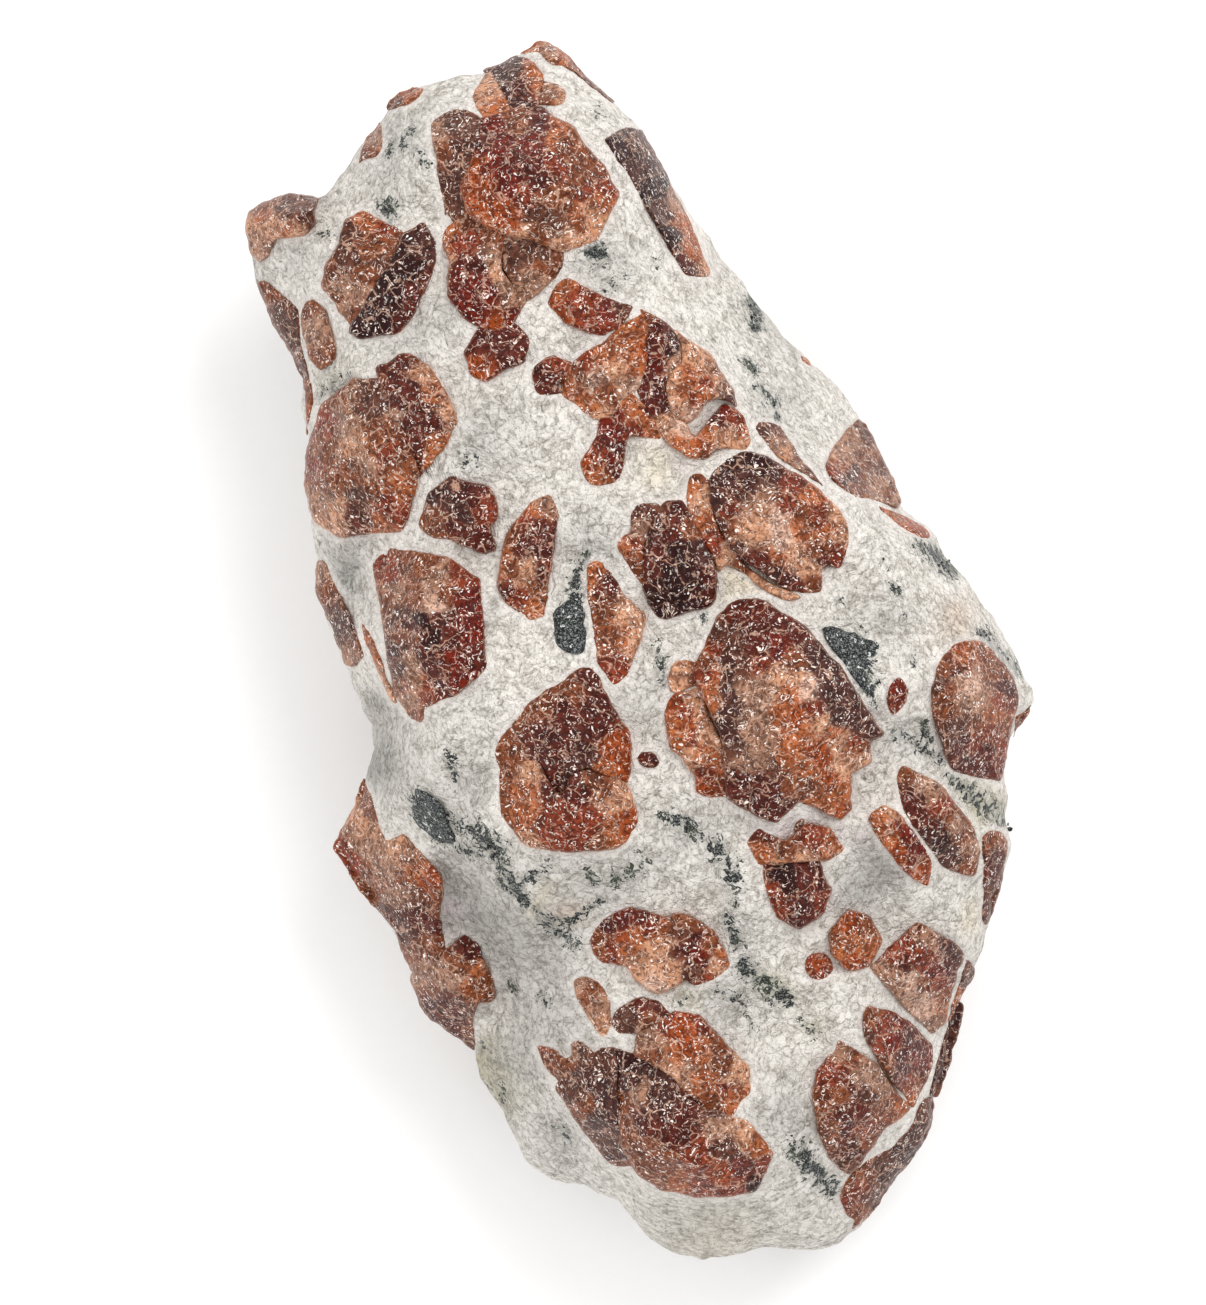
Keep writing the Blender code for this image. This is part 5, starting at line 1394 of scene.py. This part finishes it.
def garnet_material():
    """Fractured garnet: the tone of each patch, partly painted facet shading, cloudy inside, with a
    net of healed cracks, short curved white flecks, white spots that are partly painted glints,
    and a bright chipped edge."""
    recipe = Recipe("garnet")
    tone = recipe.attribute("tone")
    near_edge, own, border = recipe.parts(recipe.attribute("marks"))
    look_now = look()

    curled = recipe.warped(recipe.place, 1.0, 1.1)
    spun = recipe.spun(curled, own * TURN)
    streaks = recipe.noise(0.40, recipe.vector("MULTIPLY", spun, (1.0, 0.28, 1.0)), 2.0, 0.6)
    cloud, veil, crowd = recipe.parts(recipe.noise(1.3, curled, 2.0, 0.62, output="Color"))
    fine, broken_up, stipple = recipe.parts(recipe.noise(0.28, curled, 1.0, 0.65, output="Color"))
    dim = recipe.mix(1.0, tone, DIM_TONE, "MULTIPLY")
    bright = recipe.mix(1.0, tone, BRIGHT_TONE, "MULTIPLY")
    shade = cloud * 0.42 + streaks * 0.38 + fine * 0.20
    colour = recipe.mix(shade.between(0.40, 0.60), dim, bright)
    colour = recipe.mix(veil.between(0.60, 0.78) * 0.28, colour, rgba("veil"))
    pits = (1 - fine.between(0.34, 0.48)) * 0.80
    colour = recipe.mix(pits, colour, recipe.mix(0.5, dim, rgba("pit")))

    crack = look_now.crack_spacing / MM
    one, other, third = recipe.parts(recipe.noise(crack * 0.36, curled, 1.0, 0.5, output="Color"))
    thick = crowd.between(0.40, 0.60)
    dashes = (1 - abs(one - 0.5).between(0.016, 0.044)) * other.between(0.58, 0.61)
    commas = (1 - abs(other - 0.5).between(0.014, 0.040)) * third.between(0.59, 0.62)
    squiggles = dashes.most(commas) * (0.30 + thick * 0.70)
    colour = recipe.mix(squiggles * look_now.crack_strength, colour, rgba("squiggle"))
    large_net = recipe.cells(crack * 1.5, curled, "DISTANCE_TO_EDGE")
    lines = (1 - large_net.between(0.0, 0.04)) * veil.between(0.46, 0.54)
    seams = border.between(0.45, 1.0) * broken_up.between(0.46, 0.56)
    healed = lines.most(seams) * 0.62
    colour = recipe.mix(healed * look_now.crack_strength, colour, rgba("seam"))

    # White spots: partly white flecks of the garnet and partly painted glints
    spot_colour, spot = recipe.cells(0.36, curled, output=("Color", "Distance"))
    chosen = recipe.parts(spot_colour)[0].between(0.68, 0.72)
    white = (1 - spot.between(0.18, 0.34)) * chosen * (0.30 + thick * 0.70)
    colour = recipe.mix(white * look_now.crack_strength, colour, rgba("fleck and painted glint"))

    rim = near_edge.between(0.30, 1.0) * (0.30 + stipple.between(0.42, 0.58) * 0.70)
    colour = recipe.mix(rim * 0.45, colour, recipe.mix(0.45, rgba("chipped edge"), tone))

    normal = recipe.bump(cloud * 0.5 + streaks * 0.5 + fine * 0.8, 0.00016, 0.85)
    return recipe.finish(colour, 0.42 + white * 0.2, normal, Specular_IOR_Level=0.12)


def diopside_material():
    """Dark green, nearly black diopside: small cleaved grains, some olive, with pale dust between."""
    recipe = Recipe("diopside")
    loose = recipe.warped(recipe.place, 0.7, 0.6)
    shade, tilt, pale = recipe.parts(recipe.cells(0.30, loose, output="Color"))
    fine, dust, olive = recipe.parts(recipe.noise(0.22, loose, 3.0, 0.7, output="Color"))
    dark = recipe.mix(shade, rgba("diopside"), rgba("worn diopside"))
    colour = recipe.mix(olive.between(0.56, 0.66) * 0.4, dark, rgba("olive diopside"))
    threads = (1 - abs(dust - 0.5).between(0.02, 0.06)) * fine.between(0.48, 0.56)
    colour = recipe.mix(threads * 0.75, colour, rgba("dust"))
    glints = pale.between(0.90, 0.94) * dust.between(0.44, 0.52)
    colour = recipe.mix(glints, colour, rgba("glint"))
    normal = recipe.bump(tilt * 0.8 + fine * 0.8, 0.00020, 0.9)
    return recipe.finish(colour, 0.5, normal, Specular_IOR_Level=0.2)


def floor_material():
    """Plain pale card with a faint tooth."""
    recipe = Recipe("floor")
    tooth = recipe.noise(1.2, None, 3.0, 0.6)
    colour = recipe.mix(tooth, rgba("card"), rgba("bright card"))
    normal = recipe.bump(tooth, 0.00002, 0.1)
    return recipe.finish(colour, 0.9 + tooth * 0.05, normal, Specular_IOR_Level=0.1)


def material(name):
    """A material by name, made the first time."""
    makers = {
        "wollastonite": matrix_material, "garnet": garnet_material,
        "diopside": diopside_material, "floor": floor_material,
    }
    return bpy.data.materials.get(stone_name(name)) or makers[name]()


class RockLook(bpy.types.PropertyGroup):
    """Sizes and colours of the rock that a user would change."""

    matrix_white: bpy.props.FloatVectorProperty(
        name="Matrix white", description="Mean colour of the wollastonite", subtype="COLOR",
        size=3, min=0, max=1, default=tuple(float(c) for c in linear((231, 228, 223))),
    )
    grey_strength: bpy.props.FloatProperty(
        name="Grey gaps", description="Strength of the grey between the grains",
        default=0.85, min=0, max=1, subtype="FACTOR",
    )
    grain_size: bpy.props.FloatProperty(
        name="Grain size", description="Width of the wollastonite grains", default=0.00055, min=0.0001,
        max=0.003, subtype="DISTANCE", unit="LENGTH", precision=5,
    )
    crack_spacing: bpy.props.FloatProperty(
        name="Crack spacing", description="Distance between the healed cracks of the garnets",
        default=0.0013, min=0.0003, max=0.01, subtype="DISTANCE", unit="LENGTH", precision=5,
    )
    # Crack strength also scales the white spots, which are partly painted glints
    crack_strength: bpy.props.FloatProperty(
        name="Crack strength", description="How white the cracks and flecks of the garnets are",
        default=0.9, min=0, max=1, subtype="FACTOR",
    )
    grain_relief: bpy.props.FloatProperty(
        name="Grain relief", description="Height of the grains that stand out of the matrix",
        default=0.00012, min=0, max=0.001, subtype="DISTANCE", unit="LENGTH", precision=5,
    )
    hidden_garnets: bpy.props.IntProperty(
        name="Hidden garnets", default=115, min=1, max=300,
        description="Most small garnets, as far as there is room, on the faces out of the picture",
    )


class StageLook(bpy.types.PropertyGroup):
    """Camera and light that a user would change."""

    distance: bpy.props.FloatProperty(
        name="Camera distance", description="From the camera to the rock's widest line", default=3.0,
        min=0.3, max=10, subtype="DISTANCE", unit="LENGTH",
    )
    key_power: bpy.props.FloatProperty(
        name="Key light", description="Power of the large light at the upper right", default=4.6, min=0,
        max=100, unit="POWER",
    )
    fill_power: bpy.props.FloatProperty(
        name="Fill light", description="Power of the large light at the left", default=1.6, min=0,
        max=100, unit="POWER",
    )
    sky_strength: bpy.props.FloatProperty(
        name="Surrounding light", description="Strength of the even white light from all round",
        default=0.92, min=0, max=5,
    )


def look():
    """The sizes and colours that the panel shows."""
    return bpy.context.scene.rock_look


def read_outline(words):
    """An anticlockwise outline in metres of "x y|x y"."""
    return anticlockwise(to_metres(read_points(words)))


def outlines():
    """Outlines in metres of every garnet of the pictured face by name, touching ones grown together."""
    flats = {}
    for name in GARNET_PATCHES:
        if name in REDRAWN:
            flats[name] = grown(read_outline(REDRAWN[name]), REDRAWN_MARGIN)
        else:
            flats[name] = foot_outline(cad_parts[name])
    for name, small in SMALL_GARNETS.items():
        flats[name] = read_outline(small[1])
    for one, other in TOUCHING:
        flats[one] = carried_over(flats[one], flats[other])
    return flats


def carried_over(flat, other):
    """An outline whose points outside another outline, but within reach of it, move onto it."""
    closed = closed_line(flat)
    fine = evenly(closed, max(30, int(line_length(closed) / TOUCHING_STEP)))[:-1]
    start, end = other, np.roll(other, -1, axis=0)
    edge = end - start
    arm = fine[:, None] - start
    along = np.clip(np.sum(arm * edge, -1) / np.maximum(np.sum(edge**2, axis=1), 1e-20), 0, 1)
    feet = start + along[..., None] * edge
    gap = np.linalg.norm(fine[:, None] - feet, axis=-1)
    nearest = gap.argmin(axis=1)
    rows = np.arange(len(fine))
    share = 1 - smoothstep(0.6, 1.0, gap[rows, nearest] / TOUCHING_REACH)
    share = share * (outline_distance(fine, other) > 0)
    way = (feet[rows, nearest] - fine) / np.maximum(gap[rows, nearest], 1e-9)[:, None]
    return fine + way * (gap[rows, nearest] + TOUCHING_OVERLAP)[:, None] * share[:, None]


def grain_relief(points):
    """Lumps of grains: rough noise at 2 mm and ridges (1 - |noise|)**2 at 1.1 mm."""
    lumps = rough(points, GRAIN_LUMPS, 31, 3)
    ridges = (1 - np.abs(noise(points, GRAIN_RIDGES, 40))) ** 2
    return look().grain_relief * (0.9 * lumps + 0.8 * (ridges - 0.4))


def share_rim(points):
    """Puts every second rim point halfway between its neighbours, where the coarser face below has
    none, so that the two faces meet without a crack."""
    for side in (points[0], points[-1], points[:, 0], points[:, -1]):
        side[1:-1:2] = (side[0:-2:2] + side[2::2]) / 2


class ROCK_OT_matrix(bpy.types.Operator):
    """Builds the skin of the wollastonite matrix: the pictured face and the face below it"""

    bl_idname = "rock.matrix"
    bl_label = "Matrix"

    def execute(self, context):
        self.top(list(outlines().values()))
        self.below()
        return {"FINISHED"}

    def top(self, every):
        """The pictured face: raised round each outline and sunk under its crystal."""
        points, angle, rim = skin_grid(*TOP_CELLS, TOP.level, TOP_SHARES)
        normals = grid_normals(points, angle, rim)
        flat = points[..., :2].reshape(-1, 2)
        gap = nearest_crystal(flat, every).reshape(rim.shape)
        halo = np.exp(-(np.maximum(gap, 0) / HALO_REACH) ** 2)
        grains = grain_relief(points)
        rise = grains * smoothstep(-0.0001, 0.0004, gap) + HALO_RISE * halo * (gap > 0)
        rise = np.where(rim, grains, rise)
        points = points + normals * rise[..., None]
        points = points - normals * (SUNK * smoothstep(0.0002, 0.0007, -gap) * ~rim)[..., None]
        share_rim(points)
        colour, grey = tinted_ground(flat, 51)
        streaks = streak_strength(flat, DIOPSIDE_STREAKS)
        # blue holds the grey tints' weight, which is partly painted shade
        marks = np.column_stack([streaks, halo.ravel(), grey])
        self.face("matrix_pictured_face", points, rim, 1, colour, marks)

    def below(self):
        """The face below, never under the floor, with random grey, cream and dark places."""
        points, angle, rim = skin_grid(*BELLY_CELLS, belly_level, BELLY_SHARES)
        normals = -grid_normals(points, angle, rim)
        normals[rim] *= -1
        points = points + normals * grain_relief(points)[..., None]
        points[..., 2] = np.maximum(points[..., 2], np.where(rim, 0, 0.00012))
        places = points.reshape(-1, 3)
        grey = smoothstep(0.0, 0.7, rough(places, 0.014, 71))
        cream = smoothstep(0.3, 0.8, rough(places, 0.011, 76))
        colour = np.array(look().matrix_white)
        for share, tint in ((cream[:, None] * 0.5, "cream"), (grey[:, None] * 0.5, "grey")):
            colour = colour * (1 - share) + linear(TINTS[tint]) * share
        dark = smoothstep(0.42, 0.80, rough(places, 0.0042, 81, 2))
        dark = dark * smoothstep(-0.1, 0.3, noise(places, 0.02, 85))
        marks = np.column_stack([dark * 0.9, 0 * grey, grey])
        self.face("matrix_face_below", points, rim, -1, colour, marks)

    def face(self, name, points, rim, order, colour, marks):
        """One face as an object. order is -1 where its triangles have to be turned round."""
        index = np.arange(rim.size).reshape(rim.shape)
        faces = grid_triangles(index)[:, ::order]
        piece = make_object(name, points.reshape(-1, 3), faces, material("wollastonite"),
                            {"ground": colour, "marks": marks})
        settle(piece, ["wollastonite_matrix"])


def garnet_piece(name, shape, nodes=()):
    """A piece of garnet from its points, faces and attributes."""
    points, faces, attributes = shape
    settle(make_object(name, points, faces, material("garnet"), attributes), nodes)


class ROCK_OT_pictured_garnets(bpy.types.Operator):
    """Builds the larger garnets of the pictured face, each in place of its packed crystal"""

    bl_idname = "rock.pictured_garnets"
    bl_label = "Larger garnets"

    def execute(self, context):
        flats = outlines()
        for number, (name, words) in enumerate(GARNET_PATCHES.items()):
            planes = head_planes(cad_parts[name])
            shape = pictured_garnet(flats[name], read_patches(words), 100 + 10 * number, number, planes)
            garnet_piece(name.replace("garnet_", "crystal_"), shape, [name])
        return {"FINISHED"}


class ROCK_OT_small_garnets(bpy.types.Operator):
    """Builds the small garnets of the pictured face as one piece"""

    bl_idname = "rock.small_garnets"
    bl_label = "Small garnets"

    def execute(self, context):
        flats = outlines()
        shapes = []
        for number, (name, (rise, _, words)) in enumerate(SMALL_GARNETS.items()):
            seed = 2000 + 10 * number
            shapes.append(pictured_garnet(
                flats[name], read_patches(words), seed, number + 60, rise=rise * MM,
            ))
        garnet_piece("small_garnets", joined(shapes))
        return {"FINISHED"}


class ROCK_OT_side_garnets(bpy.types.Operator):
    """Builds the garnets of the sides, each in place of its packed crystal"""

    bl_idname = "rock.side_garnets"
    bl_label = "Side garnets"

    def execute(self, context):
        chance = np.random.default_rng(11)
        for number, (name, (degrees, place, width, height, turn)) in enumerate(SIDE_GARNETS.items()):
            outline = side_outline(width, height, turn, chance)
            patches = random_patches(outline, chance, "mwrbobkol")
            angle, step = math.radians(degrees), step_near_rim(place)
            seed = 3000 + 10 * number
            shape = side_garnet(outline, 0.6 * MM, patches, angle, step, seed, number + 90)
            garnet_piece(name.replace("garnet_", "crystal_"), shape, [name])
        return {"FINISHED"}


class ROCK_OT_hidden_garnets(bpy.types.Operator):
    """Scatters small garnets over the sides and the face below as one piece"""

    bl_idname = "rock.hidden_garnets"
    bl_label = "Hidden garnets"

    TRIES = 4000
    LEAST_GAP = 0.0012  # between two of them
    FARTHEST = 0.90  # share of half the rock's length that they reach

    def execute(self, context):
        chance = np.random.default_rng(29)
        taken = []
        for degrees, place, width, height, _ in SIDE_GARNETS.values():
            middle = belly_place(math.radians(degrees), step_near_rim(place))
            taken.append((middle, max(width, height) * MM / 2))
        shapes = []
        for _ in range(self.TRIES):
            if len(shapes) >= look().hidden_garnets:
                break
            width = float(chance.uniform(2.2, 5.5) + 8 * chance.random() ** 3)
            angle = float(chance.uniform(-math.pi, math.pi))
            step = float(np.sqrt(chance.uniform(0.02, 0.94)))
            reach = width * MM / 2
            place = belly_place(angle, step)
            if not self.is_free(place, reach, step, taken):
                continue
            taken.append((place, reach))
            height = width * chance.uniform(0.55, 0.9)
            outline = side_outline(width, height, chance.uniform(0, 180), chance)
            patches = random_patches(outline, chance, "mwrbovkolt")
            number = len(shapes)
            shapes.append(side_garnet(
                outline, 0.12 * width * MM, patches, angle, step, 4000 + 10 * number, number + 7,
            ))
        if not shapes:
            raise RuntimeError("no hidden garnet found a free place")
        garnet_piece("hidden_garnets", joined(shapes))
        return {"FINISHED"}

    def is_free(self, place, reach, step, taken):
        """Whether a garnet at a place keeps clear of the others and of the rock's widest line."""
        half = ROCK_LENGTH / 2
        if step * half + reach > half * self.FARTHEST:
            return False
        return all(np.linalg.norm(place - other) >= reach + far + self.LEAST_GAP for other, far in taken)


class ROCK_OT_diopside(bpy.types.Operator):
    """Builds the diopside clusters and the small dark grains along the streaks"""

    bl_idname = "rock.diopside"
    bl_label = "Diopside"

    def execute(self, context):
        for number, name in enumerate(DIOPSIDE_NODES):
            flat = grown(read_outline(REDRAWN[name]), REDRAWN_MARGIN)
            planes = head_planes(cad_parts[name])
            _, points, faces = pictured_crystal(flat, 5000 + 10 * number, planes)
            piece = make_object(name + "_grains", points, faces, material("diopside"), {})
            settle(piece, [name])
        points, faces = self.grains()
        piece = make_object("diopside_specks", points, faces, material("diopside"), {})
        settle(piece)
        return {"FINISHED"}

    def grains(self):
        """Angular grains: twenty-sided balls whose corners are moved at random, half sunk in the skin."""
        chance = np.random.default_rng(41)
        golden = (1 + math.sqrt(5)) / 2
        corners = np.array([
            (-1, golden, 0), (1, golden, 0), (-1, -golden, 0), (1, -golden, 0), (0, -1, golden),
            (0, 1, golden), (0, -1, -golden), (0, 1, -golden), (golden, 0, -1), (golden, 0, 1),
            (-golden, 0, -1), (-golden, 0, 1),
        ]) / math.hypot(1, golden)
        sides = np.array([
            (0, 11, 5), (0, 5, 1), (0, 1, 7), (0, 7, 10), (0, 10, 11), (1, 5, 9), (5, 11, 4),
            (11, 10, 2), (10, 7, 6), (7, 1, 8), (3, 9, 4), (3, 4, 2), (3, 2, 6), (3, 6, 8),
            (3, 8, 9), (4, 9, 5), (2, 4, 11), (6, 2, 10), (8, 6, 7), (9, 8, 1),
        ])
        places = []
        for x0, y0, x1, y1, half, strength in DIOPSIDE_STREAKS:
            length = math.hypot(x1 - x0, y1 - y0)
            count = int((4 + length * half * 0.045) * strength**2)
            along = chance.uniform(-0.1, 1.1, (count, 1))
            line = to_metres([(x0, y0)]) * (1 - along) + to_metres([(x1, y1)]) * along
            places.append(line + chance.normal(0, half * PX * 0.5, (count, 2)))
        places = np.concatenate(places)
        places = places[nearest_crystal(places, outlines().values()) > 0.0003]
        count = len(places)
        size = chance.uniform(0.00007, 0.00019, (count, 1, 1)) * chance.uniform(0.5, 1.6, (count, 1, 3))
        shapes = corners[None] * (1 + chance.uniform(-0.25, 0.25, (count, 12, 1))) * size
        turn = chance.uniform(0, TURN, count)
        spun = np.stack([
            shapes[..., 0] * np.cos(turn)[:, None] - shapes[..., 1] * np.sin(turn)[:, None],
            shapes[..., 0] * np.sin(turn)[:, None] + shapes[..., 1] * np.cos(turn)[:, None],
            shapes[..., 2] * 0.6,
        ], -1)
        centre = np.column_stack([places, TOP.level(*places.T) + 0.00002])
        points = (spun + centre[:, None]).reshape(-1, 3)
        faces = (sides[None] + 12 * np.arange(count)[:, None, None]).reshape(-1, 3)
        return points, faces


class ROCK_OT_stage(bpy.types.Operator):
    """Sets the floor, the soft lights and the camera straight above the rock"""

    bl_idname = "rock.stage"
    bl_label = "Stage"

    def execute(self, context):
        stage = context.scene.stage_look
        self.floor()
        self.light("key", KEY_PLACE, KEY_SIZE, stage.key_power)
        self.light("fill", FILL_PLACE, FILL_SIZE, stage.fill_power)
        world = bpy.data.worlds.new("surroundings")
        world.use_nodes = True
        back = world.node_tree.nodes["Background"]
        back.inputs["Color"].default_value = (1.0, 1.0, 1.0, 1.0)
        back.inputs["Strength"].default_value = stage.sky_strength
        context.scene.world = world
        self.camera(stage.distance)
        context.scene.view_settings.view_transform = "Standard"
        return {"FINISHED"}

    def floor(self):
        """A level disc of rings, whose outermost ring is turned down a little."""
        turn = np.linspace(0, TURN, FLOOR_SIDES + 1)[:-1]
        radius, height = np.array(FLOOR_RINGS).T[:, :, None]
        height = height - 0.00001 + 0 * turn
        points = np.stack([radius * np.cos(turn), radius * np.sin(turn), height], -1)
        index = np.arange(height.size).reshape(height.shape)
        index[0] = 0
        faces = grid_triangles(np.column_stack([index, index[:, :1]]))[:, ::-1]
        make_object("floor", points.reshape(-1, 3), faces, material("floor"), {})

    def light(self, name, place, size, power):
        """A round soft light that points at the origin."""
        data = bpy.data.lights.new(name, "AREA")
        data.shape, data.size, data.energy = "DISK", size, power
        lamp = bpy.data.objects.new(name, data)
        lamp.location = place
        lamp.rotation_euler = (-Vector(place)).to_track_quat("-Z", "Y").to_euler()
        lamp.visible_camera = False
        bpy.context.scene.collection.objects.link(lamp)

    def camera(self, distance):
        """A camera straight above, whose frame is the picture's at the rock's widest line."""
        data = bpy.data.cameras.new("camera")
        data.sensor_fit = "VERTICAL"
        data.sensor_height = SENSOR_HEIGHT
        data.lens = SENSOR_HEIGHT * distance / (FRAME_PX[1] * PX)
        data.clip_end = 20.0
        camera = bpy.data.objects.new("camera", data)
        x, y = to_metres([(FRAME_PX[0] / 2, FRAME_PX[1] / 2)])[0]
        camera.location = (x, y, distance + WIDEST_LINE)
        bpy.context.scene.collection.objects.link(camera)
        bpy.context.scene.camera = camera


STEPS = (
    ROCK_OT_matrix, ROCK_OT_pictured_garnets, ROCK_OT_small_garnets, ROCK_OT_side_garnets,
    ROCK_OT_hidden_garnets, ROCK_OT_diopside, ROCK_OT_stage,
)


class ROCK_PT_panel(bpy.types.Panel):
    """Lists the rock's sizes, colours and steps"""

    bl_idname = "ROCK_PT_panel"
    bl_label = "Garnet wollastonite rock"
    bl_space_type = "VIEW_3D"
    bl_region_type = "UI"
    bl_category = "Rock"

    def draw(self, context):
        for group in (context.scene.rock_look, context.scene.stage_look):
            for label in type(group).__annotations__:
                self.layout.prop(group, label)
        for step in STEPS:
            self.layout.operator(step.bl_idname)


CLASSES = (RockLook, StageLook, *STEPS, ROCK_PT_panel)


def register():
    for kind in CLASSES:
        bpy.utils.register_class(kind)
    bpy.types.Scene.rock_look = bpy.props.PointerProperty(type=RockLook)
    bpy.types.Scene.stage_look = bpy.props.PointerProperty(type=StageLook)


def unregister():
    del bpy.types.Scene.stage_look
    del bpy.types.Scene.rock_look
    for kind in reversed(CLASSES):
        bpy.utils.unregister_class(kind)


def main():
    register()
    for step in STEPS:
        group, name = step.bl_idname.split(".")
        getattr(getattr(bpy.ops, group), name)()


if __name__ == "__main__":
    main()
